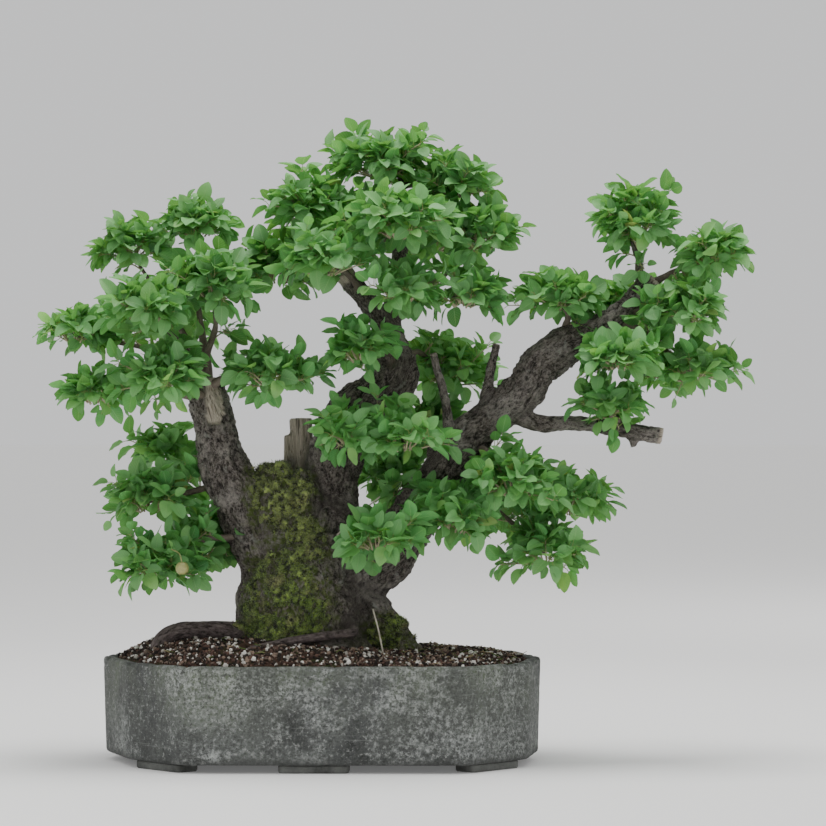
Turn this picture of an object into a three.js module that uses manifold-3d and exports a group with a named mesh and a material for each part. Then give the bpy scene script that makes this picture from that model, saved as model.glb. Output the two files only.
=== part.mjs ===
// A bonsai tree in a long, low stoneware pot: a stout old trunk that forks into heavy cut-back
// limbs, its foliage in separate pads, the soil it grows in, moss, and the pot on six slab feet.
// Millimetres, +Z up, +X to the right seen from the front, +Y away from the front.
// The whole is centred over the origin and stands on z = 0.
// Tree sizes are given about the middle of the pot, with heights above the pot's rim.
import * as THREE from 'three';
import { mergeVertices } from 'three/addons/utils/BufferGeometryUtils.js';
import Module from 'manifold-3d';

const wasm = await Module();
wasm.setup();

// ---------------------------------------------------------------- driving dimensions

const CLEARANCE = 0.3; // air between two separate pieces that touch

const POT_LENGTH = 500;
const POT_DEPTH = 350;
const POT_HEIGHT = 117; // table to rim
const POT_WALL = 14;
const POT_FLOOR = 12;
const POT_FLARE = 0.012; // share by which the plan widens from the underside to the rim
const CORNER_ROUND = 16; // length of each corner's rounding along its facets
const FOOT_HEIGHT = 9;
const FOOT_LENGTH = 78;
const FOOT_WIDTH = 30;
const FOOT_INSET = 7; // from the pot's underside edge to the foot
const FOOT_ROUND = 6;
const DRAIN_DIAMETER = 26;
const DRAIN_SPACING = 230;
const SCREEN_SIZE = 44;
const SCREEN_THICKNESS = 1.6;
const SCREEN_CELLS = 3; // holes along each side of a screen
const SCREEN_BAR = 3;

const SOIL_BELOW_RIM = 2; // where the soil meets the pot's wall
const MOUND_LEFT = 26; // height of the mound over its edge, left of the trunk
const MOUND_RIGHT = 9;
const MOUND_BLEND = 130; // half the length over which one height becomes the other
const MOUND_EDGE = 6; // the higher, the flatter the mound and the steeper its edge

const TREE_SCALE = 1; // grows the tree about the foot of its trunk
const STOUT_SIDES = 10; // facets round a fluted part of the trunk
const SLIM_SIDES = 7;
const ROOT_COUNT = 6; // main roots that spread through the soil
const ROOT_REACH = 0.66; // their length as a share of the room in the pot
const MOSS_THICKNESS = 5;
const LEAF_LAYER = 2.6; // thickness of the leafy skin of a foliage pad
const PAD_SIDES = 8;
const PAD_LUMP = 0.04; // height of a pad's lumps, as a share of its half width
const PAD_GAP = 1.2; // air between neighbouring pads
const STALK_RADIUS = 0.9;
const FRUIT_RADIUS = 7.5;

// ---------------------------------------------------------------- derived sizes

const BODY_HEIGHT = POT_HEIGHT - FOOT_HEIGHT;
const FLOOR_TOP = FOOT_HEIGHT + POT_FLOOR;
const SOIL_EDGE = POT_HEIGHT - SOIL_BELOW_RIM;

// Corners of the pot's plan as shares of its half length and half depth, anticlockwise from the
// front facet's left end. The two long facets are nearly parallel and the ends come to a soft point.
const PLAN = [
  [-0.6, -0.98], [0.66, -1], [0.94, -0.56], [1, -0.03], [0.9, 0.58],
  [0.6, 1], [-0.62, 0.99], [-0.93, 0.56], [-1, 0.03], [-0.86, -0.57],
];

// Half the outline of a foliage pad from its crown to its open underside, as shares of its half
// width and half height.
const DOME = [[0, 1], [0.62, 0.8], [0.98, 0.22], [0.82, -0.55]];

// ---------------------------------------------------------------- materials

function finish(color, roughness, metalness = 0) {
  return new THREE.MeshStandardMaterial({ color, roughness, metalness });
}

const stoneware = finish(0x6f7471, 0.9);
const footWare = finish(0x4d4f4c, 0.92);
const screenPlastic = finish(0x1d1f1e, 0.6);
const granules = finish(0x7a5a48, 0.95);
const bark = finish(0x463e3a, 0.88);
const mossGreen = finish(0x4a6a18, 0.95);
const leafGreen = finish(0x3f7a38, 0.5);
const leafBright = finish(0x6f9e48, 0.5);
const fruitSkin = finish(0xa79a62, 0.45);
const strawStalk = finish(0xb7a98c, 0.8);

// ---------------------------------------------------------------- solids

function solidOf(geometry) {
  const bare = geometry.clone();
  bare.deleteAttribute('normal');
  bare.deleteAttribute('uv');
  const merged = mergeVertices(bare, 1e-4);
  return new wasm.Manifold(new wasm.Mesh({
    numProp: 3,
    vertProperties: new Float32Array(merged.attributes.position.array),
    triVerts: new Uint32Array(merged.index.array),
  }));
}

function geometryOf(solid) {
  const mesh = solid.getMesh();
  const geometry = new THREE.BufferGeometry();
  geometry.setAttribute('position', new THREE.BufferAttribute(mesh.vertProperties, 3));
  geometry.setIndex(new THREE.BufferAttribute(mesh.triVerts, 1));
  return geometry;
}

function joined(solids) {
  return solids.reduce((whole, solid) => whole.add(solid));
}

// The biggest of the bodies that a cut leaves.
function mainBody(solid) {
  const bodies = solid.decompose();
  return bodies.sort((a, b) => b.volume() - a.volume())[0];
}

function extruded(shape, depth, z, steps = 1, curveSegments = 3) {
  const options = { depth, steps, bevelEnabled: false, curveSegments };
  return new THREE.ExtrudeGeometry(shape, options).translate(0, 0, z);
}

// A ball stretched to three half widths.
function ellipsoid(centre, radii) {
  return solidOf(new THREE.IcosahedronGeometry(1, 2).scale(...radii).translate(...centre));
}

// A tube through points of [x, y, z, radius]. Every ring stands across a smooth curve through the
// points, and its radius runs smoothly between theirs. grow widens it and lengthens its ends, and
// flute is the share of the radius by which its outline waves.
function taperedTube(points, sides, stepsPerSpan, grow = 0, flute = 0) {
  const path = new THREE.CatmullRomCurve3(points.map(([x, y, z]) => new THREE.Vector3(x, y, z)));
  const widths = new THREE.SplineCurve(points.map((point, i) => new THREE.Vector2(i, point[3])));
  const steps = stepsPerSpan * (points.length - 1);
  const frames = path.computeFrenetFrames(steps, false);
  const vertices = [];
  const centres = [];
  for (let i = 0; i <= steps; i += 1) {
    const centre = path.getPointAt(i / steps);
    if (i === 0) centre.addScaledVector(frames.tangents[i], -grow);
    if (i === steps) centre.addScaledVector(frames.tangents[i], grow);
    centres.push(centre);
    const width = widths.getPoint(path.getUtoTmapping(i / steps)).y;
    for (let j = 0; j < sides; j += 1) {
      const angle = (2 * Math.PI * j) / sides;
      const wave = Math.sin(3 * angle + 0.9 * i) + 0.6 * Math.cos(5 * angle - i);
      const radius = width * (1 + flute * wave) + grow;
      const vertex = centre.clone();
      vertex.addScaledVector(frames.normals[i], radius * Math.cos(angle));
      vertex.addScaledVector(frames.binormals[i], radius * Math.sin(angle));
      vertices.push(vertex.x, vertex.y, vertex.z);
    }
  }
  const first = vertices.length / 3;
  for (const end of [centres[0], centres[steps]]) vertices.push(end.x, end.y, end.z);
  const faces = [];
  for (let j = 0; j < sides; j += 1) {
    const next = (j + 1) % sides;
    for (let i = 0; i < steps; i += 1) {
      const low = i * sides;
      const high = low + sides;
      faces.push(low + j, low + next, high + next, low + j, high + next, high + j);
    }
    faces.push(first, next, j, first + 1, steps * sides + j, steps * sides + next);
  }
  const geometry = new THREE.BufferGeometry();
  geometry.setAttribute('position', new THREE.BufferAttribute(new Float32Array(vertices), 3));
  geometry.setIndex(faces);
  return solidOf(geometry);
}

// ---------------------------------------------------------------- group

const group = new THREE.Group();

function addPiece(name, solid, material) {
  const mesh = new THREE.Mesh(geometryOf(solid), material);
  mesh.name = name;
  group.add(mesh);
}

// ---------------------------------------------------------------- pot

// The plan's corners, moved in square to their facets by an inset.
function planCorners(inset) {
  const corners = PLAN.map(([x, y]) => new THREE.Vector2((x * POT_LENGTH) / 2, (y * POT_DEPTH) / 2));
  return corners.map((corner, i) => {
    const before = corners[(i + corners.length - 1) % corners.length];
    const after = corners[(i + 1) % corners.length];
    const into = corner.clone().sub(before).normalize();
    const out = after.clone().sub(corner).normalize();
    const turn = into.cross(out);
    const slide = (1 - into.dot(out)) / turn;
    const inward = new THREE.Vector2(-into.y, into.x);
    return corner.clone().addScaledVector(inward, inset).addScaledVector(into, -slide * inset);
  });
}

// A closed outline through corners, each rounded over a length along both its sides.
function roundedShape(corners, round) {
  const shape = new THREE.Shape();
  corners.forEach((corner, i) => {
    const before = corners[(i + corners.length - 1) % corners.length];
    const after = corners[(i + 1) % corners.length];
    const start = corner.clone().addScaledVector(before.clone().sub(corner).normalize(), round);
    const end = corner.clone().addScaledVector(after.clone().sub(corner).normalize(), round);
    if (i === 0) shape.moveTo(start.x, start.y);
    else shape.lineTo(start.x, start.y);
    shape.quadraticCurveTo(corner.x, corner.y, end.x, end.y);
  });
  shape.closePath();
  return shape;
}

const cavityShape = roundedShape(planCorners(POT_WALL), CORNER_ROUND / 2);

// Widens a geometry from the pot's underside to its rim.
function flared(geometry) {
  const position = geometry.attributes.position;
  for (let i = 0; i < position.count; i += 1) {
    const rise = (position.getZ(i) - FOOT_HEIGHT) / BODY_HEIGHT;
    const widen = 1 - POT_FLARE * (1 - rise);
    position.setXY(i, position.getX(i) * widen, position.getY(i) * widen);
  }
  return geometry;
}

function drainHoles() {
  return [-1, 1].map((side) => {
    const shape = new THREE.Shape();
    shape.absarc((side * DRAIN_SPACING) / 2, 0, DRAIN_DIAMETER / 2, 0, 2 * Math.PI);
    return solidOf(extruded(shape, POT_FLOOR * 3, FOOT_HEIGHT - POT_FLOOR, 1, 20));
  });
}

const potOutline = roundedShape(planCorners(0), CORNER_ROUND);
const potBody = solidOf(flared(extruded(potOutline, BODY_HEIGHT, FOOT_HEIGHT)));
const potCavity = solidOf(extruded(cavityShape, BODY_HEIGHT, FLOOR_TOP));
addPiece('pot', potBody.subtract(potCavity).subtract(joined(drainHoles())), stoneware);

// Each foot lies along one facet of the underside: a share along the facet, counted from its start.
const FEET = [
  ['foot_front_left', 9, 0.5], ['foot_front_middle', 0, 0.46], ['foot_front_right', 1, 0.52],
  ['foot_back_right', 4, 0.5], ['foot_back_middle', 5, 0.5], ['foot_back_left', 6, 0.5],
];
for (const [name, facet, share] of FEET) {
  const corners = planCorners(FOOT_INSET + FOOT_WIDTH / 2);
  const start = corners[facet];
  const end = corners[(facet + 1) % corners.length];
  const middle = start.clone().lerp(end, share);
  const angle = Math.atan2(end.y - start.y, end.x - start.x);
  const half = [FOOT_LENGTH / 2, FOOT_WIDTH / 2];
  const slab = [[-1, -1], [1, -1], [1, 1], [-1, 1]].map(([x, y]) => (
    new THREE.Vector2(x * half[0], y * half[1]).rotateAround(new THREE.Vector2(), angle).add(middle)));
  const shape = roundedShape(slab, FOOT_ROUND);
  addPiece(name, solidOf(extruded(shape, FOOT_HEIGHT - CLEARANCE, 0, 1, 1)), footWare);
}

// A square screen lies over each drain hole, under the soil.
function squareShape(x, y, size) {
  const half = size / 2;
  const corners = [[-1, -1], [1, -1], [1, 1], [-1, 1]];
  return new THREE.Shape(corners.map(([a, b]) => new THREE.Vector2(x + a * half, y + b * half)));
}

const screenRoom = [];
for (const [name, side] of [['drain_screen_left', -1], ['drain_screen_right', 1]]) {
  const x = (side * DRAIN_SPACING) / 2;
  const pitch = (SCREEN_SIZE - SCREEN_BAR) / SCREEN_CELLS;
  const cells = [];
  for (let i = 0; i < SCREEN_CELLS; i += 1) {
    for (let j = 0; j < SCREEN_CELLS; j += 1) {
      const at = [i, j].map((k) => (k - (SCREEN_CELLS - 1) / 2) * pitch);
      const cell = squareShape(x + at[0], at[1], pitch - SCREEN_BAR);
      cells.push(solidOf(extruded(cell, 3 * SCREEN_THICKNESS, FLOOR_TOP - SCREEN_THICKNESS)));
    }
  }
  const square = squareShape(x, 0, SCREEN_SIZE);
  const plate = solidOf(extruded(square, SCREEN_THICKNESS, FLOOR_TOP + CLEARANCE));
  addPiece(name, plate.subtract(joined(cells)), screenPlastic);
  const room = squareShape(x, 0, SCREEN_SIZE + 2 * CLEARANCE);
  screenRoom.push(solidOf(extruded(room, SCREEN_THICKNESS + 3 * CLEARANCE, FLOOR_TOP - CLEARANCE)));
}

// ---------------------------------------------------------------- trunk

// Points of [x, y, height above the rim, radius] along each part of the trunk.
const TRUNK_PARTS = {
  base: [[-20, 0, -52, 58], [-21, 0, 0, 84], [-20, 0, 30, 78], [-19, 0, 60, 74], [-14, 0, 92, 69],
    [-4, 0, 120, 56], [4, 0, 144, 40]],
  left_limb: [[-34, -4, 60, 40], [-68, -12, 127, 31], [-89, -16, 167, 28.5], [-108, -18, 212, 29.5],
    [-114, -18, 236, 27], [-120, -17, 262, 24.5], [-129, -16, 298, 21.5], [-130, -16, 317, 20]],
  dead_stub: [[-19, 12, 130, 28], [-20, 24, 180, 18], [-22, 28, 210, 14.5], [-25, 30, 271, 13.5]],
  stub_splinter: [[-27, 22, 180, 10], [-36, 22, 222, 8], [-39, 22, 252, 5]],
  crotch: [[-25, -4, 95, 46], [-50, -8, 148, 36], [-54, -9, 190, 27], [-52, -8, 218, 15]],
  crotch_right: [[-14, -6, 100, 44], [-20, -8, 160, 30], [-20, -8, 196, 20], [-22, -8, 212, 12]],
  middle_limb: [[4, 4, 95, 42], [10, 5, 125, 36], [13, 8, 183, 29.5], [15, 8, 224, 32],
    [30, 10, 270, 29.5], [66, 10, 301, 27], [83, 10, 332, 22], [76, 9, 374, 15.5], [77, 9, 394, 13]],
  burl: [[88, 6, 296, 15], [98, 3, 322, 15], [98, 2, 345, 9]],
  upper_left_stub: [[76, 8, 366, 14], [58, -6, 397, 12.5], [24, -24, 437, 11.4]],
  dead_branch: [[84, 8, 395, 7], [100, 4, 412, 5.5], [125, 0, 424, 4.5], [149, -6, 442, 3.4]],
  leader: [[77, 9, 380, 13.6], [87, 12, 417, 12], [89, 18, 462, 9.5], [91, 24, 519, 6.5],
    [88, 28, 565, 3.4]],
  right_limb: [[18, -2, 85, 42], [66, -4, 110, 34], [95, -6, 144, 29.5], [123, -9, 184, 27],
    [159, -12, 242, 24], [192, -13, 269, 22.7], [229, -13, 301, 23.5], [248, -11, 331, 24],
    [273, -9, 352, 22.7], [310, -6, 370, 16.5], [340, -3, 388, 13.6], [362, 0, 411, 15.5],
    [379, 2, 428, 14]],
  thin_shoot: [[360, 2, 408, 6], [362, 6, 449, 4], [354, 9, 474, 3.2], [362, 14, 530, 1.8]],
  side_branch: [[212, -14, 280, 14], [248, -17, 265, 10], [285, -20, 265, 8.6], [328, -24, 261, 9.2],
    [356, -27, 256, 10], [386, -30, 251, 9.6]],
  side_knob: [[352, -27, 252, 6], [354, -28, 238, 4.5]],
  thin_stub_left: [[146, -20, 255, 7], [139, -27, 298, 5.2], [131, -28, 326, 5], [127, -28, 345, 4.8]],
  thin_stub_right: [[186, -14, 285, 8.5], [191, -13, 320, 6], [199, -12, 356, 4.5]],
  dead_twig: [[122, -18, 205, 4], [123, -34, 246, 3], [123, -36, 273, 2.4]],
  left_root: [[-48, -26, 28, 22], [-66, -36, 26, 14], [-96, -42, 31, 10.8], [-130, -45, 33, 10.3],
    [-158, -45, 32, 10], [-177, -45, 22, 10], [-188, -46, 0, 8]],
  right_buttress: [[22, -4, 68, 42], [66, -5, 32, 28], [92, -4, 10, 20], [114, -2, -12, 13]],
  thin_root: [[30, -44, 38, 9], [36, -70, 32, 5.4], [12, -82, 29, 5.2], [-21, -90, 25, 5],
    [-49, -98, 20, 4.8], [-82, -108, 11, 4.2], [-98, -112, -12, 3.4]],
  back_root: [[-16, 48, 38, 34], [-24, 84, 14, 20], [-32, 114, -14, 10]],
  front_root: [[-46, -46, 16, 30], [-60, -74, -2, 17], [-68, -98, -22, 8]],
};

// Share of the radius by which the outline of a stout part swells and sinks round it.
const FLUTES = { base: 0.03, left_limb: 0.05, middle_limb: 0.06, right_limb: 0.05, burl: 0.12 };

// The pads of foliage: [name, middle, half widths, the part that bears it, share along that part].
const PADS = [
  ['left_tip', [-276, -20, 366], [45, 40, 30], 'left_limb', 0.97],
  ['left_high', [-220, 30, 465], [45, 42, 30], 'left_limb', 0.97],
  ['left_top', [-140, 5, 490], [45, 42, 30], 'left_limb', 0.99],
  ['left_front', [-190, -105, 390], [50, 45, 35], 'left_limb', 0.97],
  ['left_inner', [-120, -65, 420], [50, 48, 42], 'left_limb', 0.99],
  ['left_low_tip', [-250, -55, 298], [45, 40, 30], 'left_limb', 0.9],
  ['left_low', [-170, -110, 315], [45, 42, 35], 'left_limb', 0.9],
  ['left_right', [-52, -76, 318], [60, 36, 32], 'left_limb', 0.95],
  ['left_back', [-185, 105, 390], [55, 55, 45], 'left_limb', 0.95],
  ['low_left_upper', [-195, -15, 180], [50, 50, 40], 'left_limb', 0.5],
  ['low_left_front', [-180, -65, 105], [50, 48, 40], 'left_limb', 0.35],
  ['low_left_inner', [-130, 15, 130], [35, 45, 45], 'left_limb', 0.35],
  ['low_left_back', [-180, 75, 230], [40, 42, 30], 'left_limb', 0.6],
  ['top_left', [-15, -25, 510], [45, 45, 40], 'leader', 0.55],
  ['top_centre', [70, 0, 560], [60, 50, 38], 'leader', 0.9],
  ['top_right', [150, 10, 535], [45, 45, 35], 'leader', 0.85],
  ['top_right_low', [180, -15, 475], [45, 45, 40], 'leader', 0.6],
  ['top_front', [90, -110, 485], [55, 52, 40], 'leader', 0.6],
  ['top_left_low', [5, -85, 445], [50, 48, 40], 'upper_left_stub', 0.6],
  ['top_right_hang', [160, -50, 410], [40, 42, 38], 'leader', 0.2],
  ['top_front_low', [90, -105, 410], [45, 40, 28], 'leader', 0.2],
  ['top_bridge', [-50, 30, 442], [55, 42, 46], 'upper_left_stub', 0.9],
  ['top_back_left', [20, 110, 485], [55, 55, 50], 'leader', 0.5],
  ['top_back_right', [125, 115, 485], [55, 60, 50], 'leader', 0.6],
  ['middle_left', [45, -90, 345], [35, 38, 30], 'middle_limb', 0.85],
  ['middle_low', [35, -100, 250], [50, 38, 25], 'middle_limb', 0.55],
  ['middle_front', [95, -105, 245], [40, 38, 28], 'middle_limb', 0.6],
  ['middle_back_high', [145, 90, 325], [50, 50, 40], 'middle_limb', 0.85],
  ['middle_back_low', [120, 85, 255], [45, 48, 38], 'right_limb', 0.35],
  ['fork_back', [75, 60, 205], [34, 36, 28], 'right_limb', 0.2],
  ['low_right_inner', [148, -74, 160], [58, 45, 46], 'right_limb', 0.3],
  ['low_right_front', [215, -75, 200], [50, 48, 40], 'right_limb', 0.45],
  ['low_right_outer', [285, -5, 175], [45, 45, 40], 'right_limb', 0.42],
  ['low_right_hang', [255, -35, 120], [45, 42, 35], 'right_limb', 0.34],
  ['low_spray', [65, -120, 135], [45, 38, 25], 'right_limb', 0.12],
  ['low_right_back', [210, 80, 170], [55, 50, 40], 'right_limb', 0.4],
  ['right_apex', [358, 10, 495], [42, 42, 45], 'right_limb', 0.96],
  ['right_tip', [445, 0, 455], [37, 40, 35], 'right_limb', 0.98],
  ['right_inner', [270, -20, 405], [45, 42, 32], 'right_limb', 0.75],
  ['right_outer', [415, -30, 390], [40, 40, 33], 'right_limb', 0.9],
  ['right_front', [335, -75, 335], [50, 42, 28], 'right_limb', 0.8],
  ['right_low', [420, -20, 325], [45, 40, 33], 'right_limb', 0.88],
  ['right_under', [325, -55, 285], [38, 34, 22], 'side_branch', 0.7],
  ['right_back', [365, 90, 395], [55, 52, 40], 'right_limb', 0.85],
];

// A tree point in the object's own heights.
function treePoint([x, y, z]) {
  return [x * TREE_SCALE, y * TREE_SCALE, POT_HEIGHT + z * TREE_SCALE];
}

function treePath(points) {
  return points.map(([x, y, z, radius]) => [...treePoint([x, y, z]), radius * TREE_SCALE]);
}

// The place at a share along the middle line of a part of the trunk.
function pointAlong(part, share) {
  const points = treePath(TRUNK_PARTS[part]).map(([x, y, z]) => new THREE.Vector3(x, y, z));
  return new THREE.CatmullRomCurve3(points).getPointAt(share);
}

// The small branch that bears a pad: it leaves its limb, arches and ends inside the skin of the
// pad's crown, which seats on it.
function padBranch([, centre, halves, part, share]) {
  const start = pointAlong(part, share);
  const [x, y, z] = treePoint([centre[0], centre[1], centre[2] + halves[2]]);
  const end = new THREE.Vector3(x, y, z - LEAF_LAYER / 2);
  const middle = start.clone().lerp(end, 0.5);
  middle.z += 0.08 * start.distanceTo(end);
  return [[...start.toArray(), 5 * TREE_SCALE], [...middle.toArray(), 3.6 * TREE_SCALE],
    [...end.toArray(), 2.2 * TREE_SCALE]];
}

// A main root: from the trunk's foot out and down through the soil, short of the pot's wall and floor.
function soilRoot(index) {
  const angle = (2 * Math.PI * (index + 0.35)) / ROOT_COUNT;
  const reach = [POT_LENGTH, POT_DEPTH].map((size) => (size / 2 - POT_WALL) * ROOT_REACH);
  const depth = BODY_HEIGHT - POT_FLOOR;
  const out = [reach[0] * Math.cos(angle), reach[1] * Math.sin(angle)];
  return [[-20 * TREE_SCALE, 0, POT_HEIGHT - 0.3 * depth, 24], [0.5 * out[0], 0.5 * out[1],
    POT_HEIGHT - 0.45 * depth, 15], [out[0], out[1], POT_HEIGHT - 0.62 * depth, 6]];
}

// Everything beyond the pot's cavity, up to its rim: a root that would reach it is trimmed there.
function beyondCavity(grow) {
  const outside = roundedShape(planCorners(-POT_WALL), CORNER_ROUND);
  const inside = roundedShape(planCorners(POT_WALL + CLEARANCE - grow), CORNER_ROUND / 2);
  const block = solidOf(extruded(outside, POT_HEIGHT + CLEARANCE + grow, 0));
  return block.subtract(solidOf(extruded(inside, 2 * POT_HEIGHT, FLOOR_TOP)));
}

// Every part of the trunk, the small branches and the main roots as one solid, grown by an amount.
function trunkSolid(grow) {
  const parts = Object.entries(TRUNK_PARTS).map(([name, points]) => {
    const sides = name in FLUTES ? STOUT_SIDES : SLIM_SIDES;
    return taperedTube(treePath(points), sides, 1, grow, FLUTES[name] ?? 0);
  });
  const branches = PADS.map((pad) => taperedTube(padBranch(pad), 4, 1, grow));
  const roots = Array.from({ length: ROOT_COUNT }, (_, i) => taperedTube(soilRoot(i), 5, 1, grow));
  return joined([...parts, ...branches, ...roots]).subtract(beyondCavity(grow));
}

const trunk = trunkSolid(0);
const trunkRoom = trunkSolid(CLEARANCE);
addPiece('trunk', trunk, bark);

// ---------------------------------------------------------------- dry stalks

// Straw-coloured dead stems: one stands in the soil, one in the bark of the trunk's fork.
const soilStalk = treePath([[59, -62, 57, STALK_RADIUS], [66, -76, 32, STALK_RADIUS],
  [74, -90, -14, STALK_RADIUS]]);
const forkStalk = treePath([[14, -30, 134, STALK_RADIUS], [34, -50, 156, STALK_RADIUS],
  [67, -52, 183, STALK_RADIUS]]);
addPiece('dry_stalk_soil', taperedTube(soilStalk, 6, 2).subtract(trunkRoom), strawStalk);
addPiece('dry_stalk_fork', mainBody(taperedTube(forkStalk, 6, 2).subtract(trunkRoom)), strawStalk);

// ---------------------------------------------------------------- soil

// Height of the soil over its edge: full over most of the pot, falling off towards the wall.
// from_middle is 0 at the pot's middle and 1 at the wall.
function moundHeight(x, fromMiddle) {
  const blend = THREE.MathUtils.smoothstep(x, -MOUND_BLEND, MOUND_BLEND);
  const rise = THREE.MathUtils.lerp(MOUND_LEFT, MOUND_RIGHT, blend);
  return rise * (1 - fromMiddle ** MOUND_EDGE);
}

// Soil filling the cavity: rings of the cavity's outline, drawn in towards its middle.
function moundSolid(lift) {
  const shape = roundedShape(planCorners(POT_WALL + CLEARANCE), CORNER_ROUND / 2);
  const outline = shape.extractPoints(1).shape;
  const rings = [1, 0.95, 0.87, 0.75, 0.5, 0.25];
  const count = outline.length;
  const vertices = [];
  outline.forEach(({ x, y }) => vertices.push(x, y, FLOOR_TOP + CLEARANCE));
  for (const ring of rings) {
    outline.forEach(({ x, y }) => (
      vertices.push(x * ring, y * ring, SOIL_EDGE + moundHeight(x * ring, ring) + lift)));
  }
  const low = vertices.length / 3;
  vertices.push(0, 0, FLOOR_TOP + CLEARANCE, 0, 0, SOIL_EDGE + moundHeight(0, 0) + lift);
  const faces = [];
  for (let j = 0; j < count; j += 1) {
    const next = (j + 1) % count;
    faces.push(low, next, j, low + 1, rings.length * count + j, rings.length * count + next);
    for (let i = 0; i < rings.length; i += 1) {
      const a = i * count;
      const b = a + count;
      faces.push(a + j, a + next, b + next, a + j, b + next, b + j);
    }
  }
  const geometry = new THREE.BufferGeometry();
  geometry.setAttribute('position', new THREE.BufferAttribute(new Float32Array(vertices), 3));
  geometry.setIndex(faces);
  return solidOf(geometry);
}

const soil = moundSolid(0)
  .subtract(trunkRoom)
  .subtract(taperedTube(soilStalk, 6, 2, CLEARANCE))
  .subtract(joined(screenRoom));
addPiece('soil', mainBody(soil), granules);

// ---------------------------------------------------------------- moss

// A cushion of moss: the bark's own shape, thickened, wherever one of the round patches lies.
function mossOn(patches) {
  const reach = joined(patches.map(([centre, halves]) => (
    ellipsoid(treePoint(centre), halves.map((half) => half * TREE_SCALE)))));
  const sheet = trunkSolid(MOSS_THICKNESS).intersect(reach).subtract(trunkRoom);
  const forkRoom = taperedTube(forkStalk, 6, 2, CLEARANCE);
  return mainBody(sheet.subtract(moundSolid(CLEARANCE)).subtract(forkRoom));
}

// Each patch is [middle, half widths] of the round that bounds it.
const TRUNK_MOSS = [
  [[-46, -58, 66], [62, 50, 62]], [[-22, -40, 128], [32, 40, 40]], [[-46, -26, 186], [40, 42, 50]],
];
const BUTTRESS_MOSS = [[[84, -22, 30], [42, 26, 26]]];
addPiece('moss_trunk', mossOn(TRUNK_MOSS), mossGreen);
addPiece('moss_buttress', mossOn(BUTTRESS_MOSS), mossGreen);

// ---------------------------------------------------------------- foliage

// A lumpy dome turned from a profile of [share of the half width, share of the half height] points.
// change moves its surface out. The lumps run round it in waves set by a seed.
function dome(profile, [, centre, halves], seed, change) {
  const outline = profile.map(([r, z]) => new THREE.Vector2(r, z));
  const geometry = new THREE.LatheGeometry(outline, PAD_SIDES).rotateX(Math.PI / 2);
  const widths = halves.map((half) => half * TREE_SCALE + change);
  const place = treePoint(centre);
  const position = geometry.attributes.position;
  for (let i = 0; i < position.count; i += 1) {
    const [x, y] = [position.getX(i), position.getY(i)];
    const angle = Math.atan2(y, x);
    const lump = 1 + PAD_LUMP * (Math.sin(2 * angle + seed) + Math.cos(3 * angle - 2.3 * seed));
    position.setXY(i, x * lump, y * lump);
  }
  geometry.scale(...widths).translate(...place);
  return solidOf(geometry);
}

// A pad is the leafy skin of a lumpy dome, open underneath where its branch comes in.
const padRooms = [];
PADS.forEach((pad, index) => {
  const inside = 1 - LEAF_LAYER / (Math.min(...pad[2]) * TREE_SCALE);
  const under = DOME.map(([r, z]) => [r * inside, z < 0 ? z : z * inside]).reverse();
  let skin = dome([...DOME, ...under].reverse(), pad, index, 0).subtract(trunkRoom);
  for (const room of padRooms) skin = skin.subtract(room);
  const [rim, bottom] = DOME[DOME.length - 1];
  const filled = [...DOME, [rim * 0.5, bottom], [0, bottom]].reverse();
  padRooms.push(dome(filled, pad, index, PAD_GAP));
  addPiece(`foliage_${pad[0]}`, mainBody(skin), index % 3 ? leafGreen : leafBright);
});

// ---------------------------------------------------------------- fruit

const fruit = ellipsoid(treePoint([-150, -136, 106]), [FRUIT_RADIUS, FRUIT_RADIUS, FRUIT_RADIUS]);
addPiece('fruit', fruit, fruitSkin);

// ---------------------------------------------------------------- place

const bounds = new THREE.Box3().setFromObject(group);
const middle = bounds.getCenter(new THREE.Vector3());
group.position.set(-middle.x, -middle.y, -bounds.min.z);

export default group;
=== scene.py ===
"""A bonsai tree in a low stoneware pot: bark, dead wood, moss, granular soil and real leaves, built
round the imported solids. Shapes are worked out in millimetres about the middle of the pot's rim,
+X right, +Y away from the front, +Z up, and are placed in the frame at the end."""
import math

import bpy
import numpy as np
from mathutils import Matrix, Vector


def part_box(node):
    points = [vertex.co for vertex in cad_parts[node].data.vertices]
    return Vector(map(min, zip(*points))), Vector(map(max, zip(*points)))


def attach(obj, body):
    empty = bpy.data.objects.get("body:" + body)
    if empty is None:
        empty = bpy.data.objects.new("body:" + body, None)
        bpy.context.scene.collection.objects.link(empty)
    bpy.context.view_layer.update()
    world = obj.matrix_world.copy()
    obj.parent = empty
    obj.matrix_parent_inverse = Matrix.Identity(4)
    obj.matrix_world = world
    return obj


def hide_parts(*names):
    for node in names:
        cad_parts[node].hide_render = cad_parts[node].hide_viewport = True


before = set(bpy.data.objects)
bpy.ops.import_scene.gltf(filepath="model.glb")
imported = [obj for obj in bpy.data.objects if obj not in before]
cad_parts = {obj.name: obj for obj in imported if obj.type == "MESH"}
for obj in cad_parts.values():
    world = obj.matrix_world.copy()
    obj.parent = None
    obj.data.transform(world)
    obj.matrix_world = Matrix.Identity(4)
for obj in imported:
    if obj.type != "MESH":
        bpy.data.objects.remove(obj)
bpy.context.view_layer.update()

MM = 0.001
GOLDEN_ANGLE = 2.399963

POT_LOW, POT_HIGH = (np.array(corner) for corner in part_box("pot"))
RIM_MIDDLE = np.array([(POT_LOW[0] + POT_HIGH[0]) / 2, (POT_LOW[1] + POT_HIGH[1]) / 2, POT_HIGH[2]])


# ---------------------------------------------------------------- numbers and noise


def unit(vectors):
    """Each vector divided by its length."""
    return vectors / np.maximum(np.linalg.norm(vectors, axis=-1, keepdims=True), 1e-9)


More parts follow.
